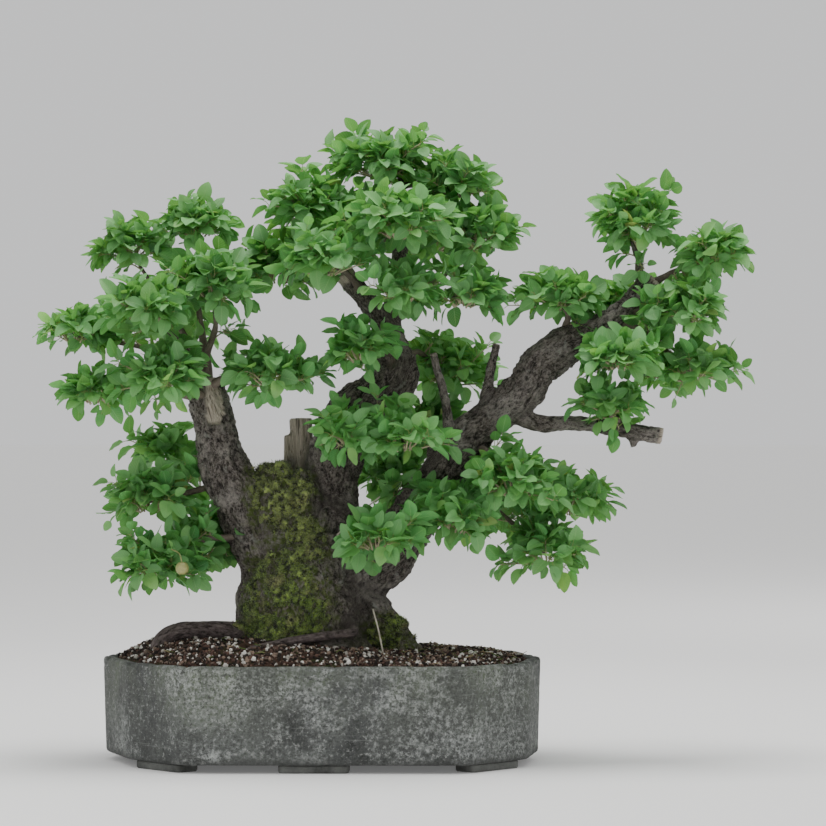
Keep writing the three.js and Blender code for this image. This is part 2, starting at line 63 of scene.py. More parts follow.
def smoothstep(low, high, value):
    """0 below low, 1 above high, and 3t^2 - 2t^3 between."""
    t = np.clip((value - low) / (high - low), 0, 1)
    return t * t * (3 - 2 * t)


def out_share(points, centre, halves):
    """How far out points are in an ellipsoid: 0 at its middle and 1 on its skin."""
    return np.linalg.norm((points - centre) / np.array(halves), axis=1)


def bell(value, middle, width):
    """1 at the middle, falling to 1/e a width away from it."""
    return np.exp(-(((value - middle) / width) ** 2))


def turns(count):
    """Angles evenly spaced round a whole turn."""
    return np.linspace(0, 2 * np.pi, count, endpoint=False)


def swung(side, other, angle):
    """Directions turned by an angle from side towards other."""
    return np.cos(angle) * side + np.sin(angle) * other


def square_to(along, fixed):
    """Two directions square to along and to each other, from a fixed one that isn't along it."""
    side = unit(np.cross(along, fixed))
    return side, np.cross(along, side)


def lattice(cells, seed):
    """A repeatable number from 0 to 1 for each whole-number cell, from mixing its three indices."""
    cells = cells.astype(np.int64)
    mixed = (cells[..., 0] * 73856093) ^ (cells[..., 1] * 19349663) ^ (cells[..., 2] * 83492791)
    mixed = (mixed ^ (seed * 2654435761)) & 0xFFFFFFFF
    mixed = ((mixed ^ (mixed >> 15)) * 2246822519) & 0xFFFFFFFF
    mixed = ((mixed ^ (mixed >> 13)) * 3266489917) & 0xFFFFFFFF
    return ((mixed ^ (mixed >> 16)) & 0xFFFFFF) / float(0xFFFFFF)


def noise(points, seed=0):
    """Value noise, 0 to 1: the eight corners of each point's cell, blended by smooth weights."""
    base = np.floor(points)
    part = points - base
    part = part * part * part * (part * (part * 6 - 15) + 10)
    total = 0
    for corner in np.ndindex(2, 2, 2):
        corner = np.array(corner)
        weight = np.prod(np.where(corner, part, 1 - part), axis=-1)
        total = total + weight * lattice(base + corner, seed)
    return total


def rough(points, seed=0, layers=3):
    """Layers of noise, each twice as fine and half as strong as the last, from 0 to 1."""
    total, weight, strength = 0, 0, 1.0
    for layer in range(layers):
        total = total + strength * noise(points * 2**layer + 17.3 * layer, seed + layer)
        weight += strength
        strength *= 0.5
    return total / weight


# ---------------------------------------------------------------- meshes


def put(name, data):
    """A new object in the scene."""
    item = bpy.data.objects.new(name, data)
    bpy.context.scene.collection.objects.link(item)
    return item


def loose(name, points, faces):
    """An object from points and lists of faces, to work with and throw away."""
    mesh = bpy.data.meshes.new(name)
    mesh.from_pydata(points.tolist(), [], [f for kind in faces for f in kind.tolist()])
    return put(name, mesh)


def make_piece(name, points, faces, material, stands_for=(), smooth=True, values=None, uv=None):
    """A mesh piece from points in millimetres about the rim's middle and lists of faces, each an
    array with three or four columns. values are numbers kept on its points, and uv is given per
    point."""
    mesh = bpy.data.meshes.new(name)
    corners = np.concatenate([f.ravel() for f in faces]).astype(np.int32)
    sizes = np.concatenate([np.full(len(f), f.shape[1]) for f in faces])
    starts = np.concatenate([[0], np.cumsum(sizes)[:-1]]).astype(np.int32)
    mesh.vertices.add(len(points))
    mesh.vertices.foreach_set("co", (points * MM + RIM_MIDDLE).astype(np.float32).ravel())
    mesh.loops.add(len(corners))
    mesh.loops.foreach_set("vertex_index", corners)
    mesh.polygons.add(len(sizes))
    mesh.polygons.foreach_set("loop_start", starts)
    mesh.update(calc_edges=True)
    for key, array in (values or {}).items():
        array = np.asarray(array, dtype=np.float32)
        kind, field = ("FLOAT", "value") if array.ndim == 1 else ("FLOAT_VECTOR", "vector")
        mesh.attributes.new(key, kind, "POINT").data.foreach_set(field, array.ravel())
    if uv is not None:
        layer = mesh.uv_layers.new(name="Leaf")
        layer.data.foreach_set("uv", uv[corners].astype(np.float32).ravel())
    mesh.polygons.foreach_set("use_smooth", np.full(len(sizes), smooth))
    mesh.validate()
    mesh.materials.append(material)
    piece = put(name, mesh)
    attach(piece, "root")
    if stands_for:
        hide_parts(*stands_for)
    return piece


def grid_faces(rows, columns, round_columns=False):
    """Quads of a grid of points kept row by row, closed round its columns if asked."""
    across = columns if round_columns else columns - 1
    row, column = np.meshgrid(np.arange(rows - 1), np.arange(across), indexing="ij")
    after = (column + 1) % columns
    low, high = row * columns, (row + 1) * columns
    return np.stack([low + column, low + after, high + after, high + column], -1).reshape(-1, 4)


def fan(ring, middle):
    """Triangles from a closed ring of point numbers to a middle point."""
    return np.stack([ring, np.roll(ring, -1), np.full(len(ring), middle)], -1)


def capped(rings, ends):
    """Points and faces of a stack of rings, each round an axis that runs up the stack, closed by
    a fan to a middle point at each end."""
    rows, around = rings.shape[:2]
    count, loop = rows * around, np.arange(around)
    fans = np.vstack([fan(loop[::-1], count), fan(loop + count - around, count + 1)])
    return np.vstack([rings.reshape(-1, 3), ends]), grid_faces(rows, around, True), fans


def copies(faces, count, points_each):
    """The faces of count like shapes kept one after another, from the faces of the first."""
    return (faces + points_each * np.arange(count)[:, None, None]).reshape(-1, faces.shape[1])


class Gathered:
    """Points and faces of many small shapes, gathered into one mesh."""

    def __init__(self):
        self.points, self.faces, self.values, self.count = [], {3: [], 4: []}, {}, 0

    def add(self, points, *faces, **values):
        points = points.reshape(-1, 3)
        for f in faces:
            self.faces[f.shape[1]].append(f + self.count)
        for key, value in values.items():
            value = np.asarray(value, dtype=float)
            self.values.setdefault(key, []).append(
                np.full(len(points), float(value)) if value.ndim == 0 else value)
        self.points.append(points)
        self.count += len(points)

    def parts(self):
        faces = [np.concatenate(f) for f in self.faces.values() if f]
        values = {key: np.concatenate(value) for key, value in self.values.items()}
        return np.concatenate(self.points), faces, values

    def make(self, name, material, slot, stands_for=()):
        points, faces, values = self.parts()
        uv = np.column_stack([values.pop("u"), values.pop("v")]) if "u" in values else None
        make_piece(name, points, faces, material, stands_for, values=values, uv=uv)


def smooth_path(points, spacing):
    """Points a spacing apart along a Catmull-Rom curve through the given ones, with every further
    number they carry, such as a radius, blended the same way."""
    points = np.asarray(points, dtype=float)
    ends = np.vstack([2 * points[0] - points[1], points, 2 * points[-1] - points[-2]])
    ends[[0, -1], 3:] = points[[0, -1], 3:]
    t = np.linspace(0, 1, 16, endpoint=False)[:, None]
    spans = []
    for a, b, c, d in zip(ends, ends[1:], ends[2:], ends[3:]):
        spans.append(0.5 * (2 * b + (c - a) * t + (2 * a - 5 * b + 4 * c - d) * t**2
                            + (3 * b - a - 3 * c + d) * t**3))
    dense = np.vstack(spans + [points[-1:]])
    along = np.concatenate([[0], np.cumsum(np.linalg.norm(np.diff(dense[:, :3], axis=0), axis=1))])
    steps = max(2, int(round(along[-1] / spacing)) + 1)
    want = np.linspace(0, along[-1], steps)
    return np.stack([np.interp(want, along, dense[:, k]) for k in range(dense.shape[1])], -1), want


def cross_frames(path):
    """Tangents of a path and two directions across it, square to each other: a fixed direction
    with its part along the tangent taken out, and the cross product of the two."""
    tangents = unit(np.gradient(path, axis=0))
    mean = np.abs(unit(tangents.mean(axis=0)))
    fixed = np.eye(3)[np.argmin(mean)]
    normals = unit(fixed - tangents * (tangents @ fixed)[:, None])
    return tangents, normals, np.cross(tangents, normals)


def tube(path, radii, sides, flute=0.0, turn=0.0):
    """Points and faces of a closed tube: rings across a path, each radius swelled by flute in
    waves round the ring that turn slowly along it, with a middle point at each end."""
    _, normals, across = cross_frames(path)
    angle = turns(sides)
    row = np.arange(len(path))[:, None]
    waves = np.sin(3 * angle + turn + 0.12 * row) + 0.6 * np.cos(5 * angle - 0.07 * row)
    reach = (radii[:, None] * (1 + flute * waves))[..., None]
    rings = path[:, None] + reach * swung(normals[:, None], across[:, None], angle[:, None])
    return capped(rings, path[[0, -1]])


def point_normals(points, quads):
    """The outward direction at each point: the sum of its quads' diagonal cross products."""
    a, b, c, d = (points[quads[:, k]] for k in range(4))
    face = np.cross(c - a, d - b)
    total = np.stack([np.bincount(quads.ravel(), np.repeat(face[:, k], 4), len(points))
                      for k in range(3)], -1)
    return unit(total)


# ---------------------------------------------------------------- tree

# Points of [x, y, height above the rim, radius] along each part of the trunk.
TRUNK_PARTS = {
    "base": [(-20, 0, -52, 58), (-21, 0, 0, 84), (-20, 0, 30, 78), (-19, 0, 60, 74), (-14, 0, 92, 69),
             (-4, 0, 120, 56), (4, 0, 144, 40)],
    "left_limb": [(-34, -4, 60, 40), (-68, -12, 127, 31), (-89, -16, 167, 28.5),
                  (-108, -18, 212, 29.5), (-114, -18, 236, 27), (-120, -17, 262, 24.5),
                  (-129, -16, 298, 21.5), (-130, -16, 317, 20)],
    "dead_stub": [(-19, 12, 130, 28), (-20, 24, 180, 18), (-22, 28, 210, 14.5), (-25, 30, 271, 13.5)],
    "stub_splinter": [(-27, 22, 180, 10), (-36, 22, 222, 8), (-39, 22, 252, 5)],
    "crotch": [(-25, -4, 95, 46), (-50, -8, 148, 36), (-54, -9, 190, 27), (-52, -8, 218, 15)],
    "crotch_right": [(-14, -6, 100, 44), (-20, -8, 160, 30), (-20, -8, 196, 20), (-22, -8, 212, 12)],
    "middle_limb": [(4, 4, 95, 42), (10, 5, 125, 36), (13, 8, 183, 29.5), (15, 8, 224, 32),
                    (30, 10, 270, 29.5), (66, 10, 301, 27), (83, 10, 332, 22), (76, 9, 374, 15.5),
                    (77, 9, 394, 13)],
    "burl": [(88, 6, 296, 15), (98, 3, 322, 15), (98, 2, 345, 9)],
    "upper_left_stub": [(76, 8, 366, 14), (58, -6, 397, 12.5), (24, -24, 437, 11.4)],
    "dead_branch": [(84, 8, 395, 7), (100, 4, 412, 5.5), (125, 0, 424, 4.5), (149, -6, 442, 3.4)],
    "leader": [(77, 9, 380, 13.6), (87, 12, 417, 12), (89, 18, 462, 9.5), (91, 24, 519, 6.5),
               (88, 28, 565, 3.4)],
    "right_limb": [(18, -2, 85, 42), (66, -4, 110, 34), (95, -6, 144, 29.5), (123, -9, 184, 27),
                   (159, -12, 242, 24), (192, -13, 269, 22.7), (229, -13, 301, 23.5),
                   (248, -11, 331, 24), (273, -9, 352, 22.7), (310, -6, 370, 16.5),
                   (340, -3, 388, 13.6), (362, 0, 411, 15.5), (379, 2, 428, 14)],
    "thin_shoot": [(360, 2, 408, 6), (362, 6, 449, 4), (354, 9, 474, 3.2), (362, 14, 530, 1.8)],
    "side_branch": [(212, -14, 280, 14), (248, -17, 265, 10), (285, -20, 265, 8.6),
                    (328, -24, 261, 9.2), (356, -27, 256, 10), (386, -30, 251, 9.6)],
    "side_knob": [(352, -27, 252, 6), (354, -28, 238, 4.5)],
    "thin_stub_left": [(146, -20, 255, 7), (139, -27, 298, 5.2), (131, -28, 326, 5),
                       (127, -28, 345, 4.8)],
    "thin_stub_right": [(186, -14, 285, 8.5), (191, -13, 320, 6), (199, -12, 356, 4.5)],
    "dead_twig": [(122, -18, 205, 4), (123, -34, 246, 3), (123, -36, 273, 2.4)],
    "left_root": [(-48, -26, 28, 22), (-66, -36, 26, 14), (-96, -42, 31, 10.8), (-130, -45, 33, 10.3),
                  (-158, -45, 32, 10), (-177, -45, 22, 10), (-188, -46, 0, 8)],
    "right_buttress": [(22, -4, 68, 42), (66, -5, 32, 28), (92, -4, 10, 20), (114, -2, -12, 13)],
    "thin_root": [(30, -44, 38, 9), (36, -70, 32, 5.4), (12, -82, 29, 5.2), (-21, -90, 25, 5.0),
                  (-49, -98, 20, 4.8), (-82, -108, 11, 4.2), (-98, -112, -12, 3.4)],
    "back_root": [(-16, 48, 38, 34), (-24, 84, 14, 20), (-32, 114, -14, 10)],
    "front_root": [(-46, -46, 16, 30), (-60, -74, -2, 17), (-68, -98, -22, 8)],
}
CENTRELINES = {name: smooth_path(points, 3.0) for name, points in TRUNK_PARTS.items()}

# How bare and pale a part is at its very end, and over what length the bareness fades.
BARE_ENDS = {"left_limb": (1, 5), "dead_stub": (1, 200), "stub_splinter": (1, 30),
             "upper_left_stub": (1, 14), "dead_branch": (1, 120), "right_limb": (1, 5),
             "side_branch": (1, 4), "thin_stub_left": (0.5, 4), "thin_stub_right": (0.4, 3),
             "dead_twig": (0.3, 20)}

# The pads of foliage: middle, half widths, the part that bears it, and the share along that part.
PADS = {
    "left_tip": ((-276, -20, 366), (45, 40, 30), "left_limb", 0.97),
    "left_high": ((-220, 30, 465), (45, 42, 30), "left_limb", 0.97),
    "left_top": ((-140, 5, 490), (45, 42, 30), "left_limb", 0.99),
    "left_front": ((-190, -105, 390), (50, 45, 35), "left_limb", 0.97),
    "left_inner": ((-120, -65, 420), (50, 48, 42), "left_limb", 0.99),
    "left_low_tip": ((-250, -55, 298), (45, 40, 30), "left_limb", 0.9),
    "left_low": ((-170, -110, 315), (45, 42, 35), "left_limb", 0.9),
    "left_right": ((-52, -76, 318), (60, 36, 32), "left_limb", 0.95),
    "left_back": ((-185, 105, 390), (55, 55, 45), "left_limb", 0.95),
    "low_left_upper": ((-195, -15, 180), (50, 50, 40), "left_limb", 0.5),
    "low_left_front": ((-180, -65, 105), (50, 48, 40), "left_limb", 0.35),
    "low_left_inner": ((-130, 15, 130), (35, 45, 45), "left_limb", 0.35),
    "low_left_back": ((-180, 75, 230), (40, 42, 30), "left_limb", 0.6),
    "top_left": ((-15, -25, 510), (45, 45, 40), "leader", 0.55),
    "top_centre": ((70, 0, 560), (60, 50, 38), "leader", 0.9),
    "top_right": ((150, 10, 535), (45, 45, 35), "leader", 0.85),
    "top_right_low": ((180, -15, 475), (45, 45, 40), "leader", 0.6),
    "top_front": ((90, -110, 485), (55, 52, 40), "leader", 0.6),
    "top_left_low": ((5, -85, 445), (50, 48, 40), "upper_left_stub", 0.6),
    "top_right_hang": ((160, -50, 410), (40, 42, 38), "leader", 0.2),
    "top_front_low": ((90, -105, 410), (45, 40, 28), "leader", 0.2),
    "top_bridge": ((-50, 30, 442), (55, 42, 46), "upper_left_stub", 0.9),
    "top_back_left": ((20, 110, 485), (55, 55, 50), "leader", 0.5),
    "top_back_right": ((125, 115, 485), (55, 60, 50), "leader", 0.6),
    "middle_left": ((45, -90, 345), (35, 38, 30), "middle_limb", 0.85),
    "middle_low": ((35, -100, 250), (50, 38, 25), "middle_limb", 0.55),
    "middle_front": ((95, -105, 245), (40, 38, 28), "middle_limb", 0.6),
    "middle_back_high": ((145, 90, 325), (50, 50, 40), "middle_limb", 0.85),
    "middle_back_low": ((120, 85, 255), (45, 48, 38), "right_limb", 0.35),
    "fork_back": ((75, 60, 205), (34, 36, 28), "right_limb", 0.2),
    "low_right_inner": ((148, -74, 160), (58, 45, 46), "right_limb", 0.3),
    "low_right_front": ((215, -75, 200), (50, 48, 40), "right_limb", 0.45),
    "low_right_outer": ((285, -5, 175), (45, 45, 40), "right_limb", 0.42),
    "low_right_hang": ((255, -35, 120), (45, 42, 35), "right_limb", 0.34),
    "low_spray": ((65, -120, 135), (45, 38, 25), "right_limb", 0.12),
    "low_right_back": ((210, 80, 170), (55, 50, 40), "right_limb", 0.4),
    "right_apex": ((358, 10, 495), (42, 42, 45), "right_limb", 0.96),
    "right_tip": ((445, 0, 455), (37, 40, 35), "right_limb", 0.98),
    "right_inner": ((270, -20, 405), (45, 42, 32), "right_limb", 0.75),
    "right_outer": ((415, -30, 390), (40, 40, 33), "right_limb", 0.9),
    "right_front": ((335, -75, 335), (50, 42, 28), "right_limb", 0.8),
    "right_low": ((420, -20, 325), (45, 40, 33), "right_limb", 0.88),
    "right_under": ((325, -55, 285), (38, 34, 22), "side_branch", 0.7),
    "right_back": ((365, 90, 395), (55, 52, 40), "right_limb", 0.85),
}


# ---------------------------------------------------------------- materials


class Recipe:
    """A material or node group under construction: add() makes a node, sets its plain values and
    links what it is given."""

    def __init__(self, tree):
        self.tree = tree

    def add(self, kind, inputs=None, **settings):
        node = self.tree.nodes.new(kind)
        for key, value in settings.items():
            setattr(node, key, value)
        for key, value in (inputs or {}).items():
            self.feed(node, key, value)
        return node

    def feed(self, node, key, value):
        if isinstance(value, bpy.types.NodeSocket):
            self.tree.links.new(value, node.inputs[key])
        else:
            node.inputs[key].default_value = value

    def math(self, operation, first, second=0.0, clamp=False):
        return self.add("ShaderNodeMath", {0: first, 1: second}, operation=operation,
                        use_clamp=clamp).outputs[0]

    def times(self, first, second, clamp=False):
        return self.math("MULTIPLY", first, second, clamp)

    def plus(self, first, second):
        return self.math("ADD", first, second)

    def split(self, vector):
        return self.add("ShaderNodeSeparateXYZ", {0: vector}).outputs

    def ramp(self, value, low, high, to_low=0.0, to_high=1.0):
        return self.add("ShaderNodeMapRange", {"Value": value, "From Min": low, "From Max": high,
                                               "To Min": to_low, "To Max": to_high}).outputs[0]

    def mix(self, share, first, second, blend="MIX"):
        node = self.add("ShaderNodeMix", data_type="RGBA", blend_type=blend)
        for index, value in ((0, share), (6, first), (7, second)):
            self.feed(node, index, (*value, 1.0) if isinstance(value, tuple) else value)
        return node.outputs[2]

    def noise(self, place, scale, detail=4.0, roughness=0.55, distortion=0.0):
        return self.add("ShaderNodeTexNoise", {"Vector": place, "Scale": scale, "Detail": detail,
                                               "Roughness": roughness, "Distortion": distortion}
                        ).outputs["Fac"]

    def kept(self, name, kind="Fac"):
        return self.add("ShaderNodeAttribute", attribute_name=name).outputs[kind]

    def stretched(self, place, scale):
        return self.add("ShaderNodeMapping", {"Vector": place, "Scale": scale}).outputs[0]

    def group(self, tree, **inputs):
        node = self.add("ShaderNodeGroup")
        node.node_tree = tree
        for key, value in inputs.items():
            self.feed(node, key, value)
        return node.outputs

    def blotches(self, place, scale, level, softness):
        return self.group(BLOTCHES, Place=place, Scale=scale, Level=level, Softness=softness)["Mask"]

    def object_place(self):
        return self.add("ShaderNodeTexCoord").outputs["Object"]

    def bump(self, height, strength, distance, normal=None):
        inputs = {"Height": height, "Strength": strength, "Distance": distance}
        if normal is not None:
            inputs["Normal"] = normal
        return self.add("ShaderNodeBump", inputs).outputs[0]


def new_group(name, inputs, outputs):
    """A node group with (name, kind, start value) inputs and (name, kind) outputs."""
    tree = bpy.data.node_groups.new(name, "ShaderNodeTree")
    for label, kind, value in inputs:
        socket = tree.interface.new_socket(label, in_out="INPUT", socket_type=kind)
        if value is not None:
            socket.default_value = value
    for label, kind in outputs:
        tree.interface.new_socket(label, in_out="OUTPUT", socket_type=kind)
    recipe = Recipe(tree)
    return recipe, recipe.add("NodeGroupInput").outputs, recipe.add("NodeGroupOutput")


def blotch_group():
    """Soft-edged patches: noise at a scale, cut at a level over a softness, as a mask."""
    r, given, out = new_group(
        "Blotches", [("Place", "NodeSocketVector", None), ("Scale", "NodeSocketFloat", 20.0),
                     ("Level", "NodeSocketFloat", 0.5), ("Softness", "NodeSocketFloat", 0.1)],
        [("Mask", "NodeSocketFloat")])
    value = r.noise(given["Place"], given["Scale"], 6.0, 0.6, 0.4)
    shifted = r.math("SUBTRACT", value, given["Level"])
    mask = r.math("ADD", r.math("DIVIDE", shifted, given["Softness"]), 0.5, clamp=True)
    r.tree.links.new(mask, out.inputs["Mask"])
    return r.tree


def grain_group():
    """Fine grain: two sizes of noise added, as a height and a mask for colour."""
    r, given, out = new_group(
        "Fine grain", [("Place", "NodeSocketVector", None), ("Scale", "NodeSocketFloat", 300.0)],
        [("Height", "NodeSocketFloat"), ("Mask", "NodeSocketFloat")])
    coarse = r.noise(given["Place"], given["Scale"], 3.0, 0.6)
    fine = r.noise(given["Place"], r.times(given["Scale"], 4.1), 2.0, 0.6)
    height = r.plus(r.times(coarse, 0.65), r.times(fine, 0.35))
    r.tree.links.new(height, out.inputs["Height"])
    r.tree.links.new(r.ramp(height, 0.35, 0.65), out.inputs["Mask"])
    return r.tree


BLOTCHES = blotch_group()
GRAIN = grain_group()


def new_material(name, roughness=0.8, specular=0.4, **plain):
    """A material with one Principled shader; returns its recipe and the shader."""
    material = bpy.data.materials.new(name)
    material.use_nodes = True
    material.node_tree.nodes.clear()
    recipe = Recipe(material.node_tree)
    shader = recipe.add("ShaderNodeBsdfPrincipled", {"Roughness": roughness,
                                                     "Specular IOR Level": specular, **plain})
    output = recipe.add("ShaderNodeOutputMaterial")
    recipe.tree.links.new(shader.outputs[0], output.inputs["Surface"])
    return material, recipe, shader


def set_inputs(recipe, shader, **sockets):
    for key, socket in sockets.items():
        recipe.tree.links.new(socket, shader.inputs[key.replace("_", " ")])


def bark_material():
    """Dark grey-brown bark with pale chips and painted shade in its pits and fissures, a smoother rind
    on the surface roots, and bare wood and green staining where the piece's own masks say. All run
    along each limb."""
    material, r, shader = new_material("Bark")
    place = r.object_place()
    along = r.kept("grain_place", "Vector")
    ridge, bare, green = r.kept("ridge"), r.kept("bare"), r.kept("green")
    flakes = r.noise(r.stretched(along, (0.09, 0.2, 0.2)), 1.0, 7.0, 0.7, 0.8)
    fine = r.group(GRAIN, Place=place, Scale=420.0)
    tone = r.mix(r.ramp(flakes, 0.36, 0.66), (0.04, 0.031, 0.026), (0.20, 0.168, 0.148))
    patches = r.blotches(place, 26.0, 0.56, 0.16)
    tone = r.mix(r.times(patches, 0.75), tone, (0.4, 0.37, 0.335))
    # Painted shade: the fissures, where the ridge level is low, are darkened almost to black.
    tone = r.mix(r.ramp(ridge, 0.1, 0.8, 0.9, 0.0), tone, (0.012, 0.009, 0.007))
    flecks = r.noise(place, 280.0, 5.0, 0.72)
    flecks = r.times(r.ramp(flecks, 0.5, 0.62, 0.0, 0.75), r.ramp(ridge, 0.3, 0.9))
    tone = r.mix(flecks, tone, (0.33, 0.295, 0.265))
    # Painted shade: the pits, the low parts of the fine grain, are darkened.
    tone = r.mix(r.ramp(fine["Height"], 0.36, 0.46, 0.6, 0.0), tone, (0.02, 0.015, 0.012))
    chips = r.noise(r.stretched(along, (0.22, 0.42, 0.42)), 1.0, 6.0, 0.8, 0.6)
    tone = r.mix(r.ramp(chips, 0.5, 0.6, 0.0, 0.7), tone, (0.3, 0.265, 0.235))
    # Painted shade: the low parts of the chips are darkened.
    tone = r.mix(r.ramp(chips, 0.4, 0.49, 0.8, 0.0), tone, (0.014, 0.011, 0.01))
    lichen = r.blotches(place, 60.0, 0.64, 0.05)
    tone = r.mix(r.times(lichen, 0.5), tone, (0.36, 0.37, 0.33))
    rind = r.noise(r.stretched(along, (0.12, 0.3, 0.3)), 1.0, 6.0, 0.75)
    rind = r.mix(r.ramp(rind, 0.36, 0.64), (0.02, 0.013, 0.012), (0.24, 0.19, 0.18))
    tone = r.mix(r.kept("rind"), tone, rind)
    mossy = r.noise(place, 160.0, 4.0, 0.7)
    mossy = r.times(green, r.ramp(mossy, 0.4, 0.6), clamp=True)
    tone = r.mix(mossy, tone, (0.085, 0.12, 0.022))
    streaks = r.noise(r.stretched(along, (0.035, 0.9, 0.9)), 1.0, 5.0, 0.7, 0.2)
    wood = r.mix(r.ramp(streaks, 0.32, 0.66), (0.28, 0.215, 0.16), (0.74, 0.67, 0.57))
    cracks = r.noise(r.stretched(along, (0.02, 0.42, 0.42)), 1.0, 3.0, 0.5, 0.1)
    wood = r.mix(r.ramp(cracks, 0.36, 0.42, 0.75, 0.0), wood, (0.05, 0.035, 0.025))
    colour = r.mix(bare, tone, wood)
    height = r.plus(r.plus(flakes, chips), r.times(fine["Height"], 0.45))
    normal = r.bump(height, 0.95, 0.0034)
    set_inputs(r, shader, Base_Color=colour, Normal=normal,
               Roughness=r.ramp(flakes, 0.3, 0.7, 0.72, 0.9))
    return material


def pot_material():
    """Weathered grey stoneware: sandy speckle, pale bloom, green algae, dark runs down from the rim,
    damp in patches and along the foot, and faint scratches along the walls."""
    material, r, shader = new_material("Pot stoneware", 0.85, 0.35)
    place = r.object_place()
    split = r.split(place)
    grain = r.group(GRAIN, Place=place, Scale=480.0)
    salt = r.noise(place, 210.0, 6.0, 0.8)
    speck = r.noise(place, 340.0, 3.0, 0.6)
    cloud = r.noise(place, 9.0, 7.0, 0.68, 0.5)
    colour = r.mix(r.ramp(cloud, 0.36, 0.64), (0.022, 0.024, 0.023), (0.165, 0.175, 0.17))
    bloom = r.blotches(place, 13.0, 0.54, 0.2)
    crust = r.times(bloom, r.ramp(salt, 0.44, 0.56, 0.1, 1.0))
    colour = r.mix(r.times(crust, 0.85), colour, (0.53, 0.555, 0.535))
    colour = r.mix(r.ramp(salt, 0.55, 0.63, 0.0, 0.7), colour, (0.42, 0.43, 0.41))
    colour = r.mix(r.ramp(salt, 0.36, 0.46, 0.75, 0.0), colour, (0.022, 0.024, 0.023))
    algae = r.blotches(place, 9.0, 0.5, 0.16)
    algae = r.times(algae, r.ramp(salt, 0.36, 0.56, 1.0, 0.25))
    height_share = r.ramp(split[2], POT_LOW[2], POT_HIGH[2])
    algae = r.times(algae, r.ramp(height_share, 0.25, 0.9, 0.2, 0.9))
    colour = r.mix(algae, colour, (0.1, 0.13, 0.065))
    runs = r.noise(r.stretched(place, (95.0, 95.0, 14.0)), 1.0, 5.0, 0.65)
    runs = r.times(r.ramp(runs, 0.5, 0.62, 0.0, 0.65), r.ramp(height_share, 0.3, 1.0))
    colour = r.mix(runs, colour, (0.07, 0.08, 0.06))
    damp = r.blotches(r.stretched(place, (1.0, 1.0, 0.7)), 11.0, 0.5, 0.14)
    damp = r.times(damp, r.ramp(salt, 0.4, 0.6, 0.85, 0.25))
    low_edge = r.plus(height_share, r.times(cloud, -0.22))
    damp = r.math("MAXIMUM", damp, r.ramp(low_edge, -0.09, 0.0, 0.85, 0.0))
    colour = r.mix(damp, colour, (0.03, 0.032, 0.03))
    dark_specks = r.ramp(speck, 0.37, 0.42, 0.9, 0.0)
    colour = r.mix(dark_specks, colour, (0.04, 0.042, 0.038))
    colour = r.mix(r.times(grain["Mask"], 0.14), colour, (0.4, 0.41, 0.39))
    scratches = r.noise(r.stretched(place, (14.0, 14.0, 420.0)), 1.0, 2.0, 0.5, 0.15)
    lines = r.ramp(scratches, 0.67, 0.73, 0.0, 1.0)
    colour = r.mix(r.times(lines, 0.14), colour, (0.4, 0.41, 0.39))
    height = r.plus(grain["Height"], r.times(lines, -0.5))
    height = r.plus(height, r.times(dark_specks, -0.5))
    set_inputs(r, shader, Base_Color=colour, Normal=r.bump(height, 0.6, 0.0012),
               Roughness=r.ramp(damp, 0.0, 1.0, 0.9, 0.66))
    return material


def soil_material():
    """Fine damp grit between the grains."""
    material, r, shader = new_material("Soil grit", 0.95, 0.2)
    place = r.object_place()
    grain = r.group(GRAIN, Place=place, Scale=330.0)
    colour = r.mix(grain["Mask"], (0.018, 0.011, 0.008), (0.09, 0.055, 0.038))
    colour = r.mix(r.blotches(place, 24.0, 0.56, 0.1), colour, (0.03, 0.04, 0.012))
    set_inputs(r, shader, Base_Color=colour, Normal=r.bump(grain["Height"], 0.9, 0.0015))
    return material


def grain_material(name, low, high):
    """Porous grains: two tones by each grain's own number, with pits, bumped and darkened by painted
    shade.
    """
    material, r, shader = new_material(name, 0.88, 0.3)
    place = r.object_place()
    grain = r.group(GRAIN, Place=place, Scale=900.0)
    colour = r.mix(r.kept("tone"), low, high)
    # Painted shade: the pits, the low parts of the fine grain, are darkened to a third of the darker
    # tone.
    colour = r.mix(r.ramp(grain["Height"], 0.36, 0.46, 0.6, 0.0), colour,
                   tuple(0.35 * value for value in low))
    set_inputs(r, shader, Base_Color=colour, Normal=r.bump(grain["Height"], 0.7, 0.0006))
    return material


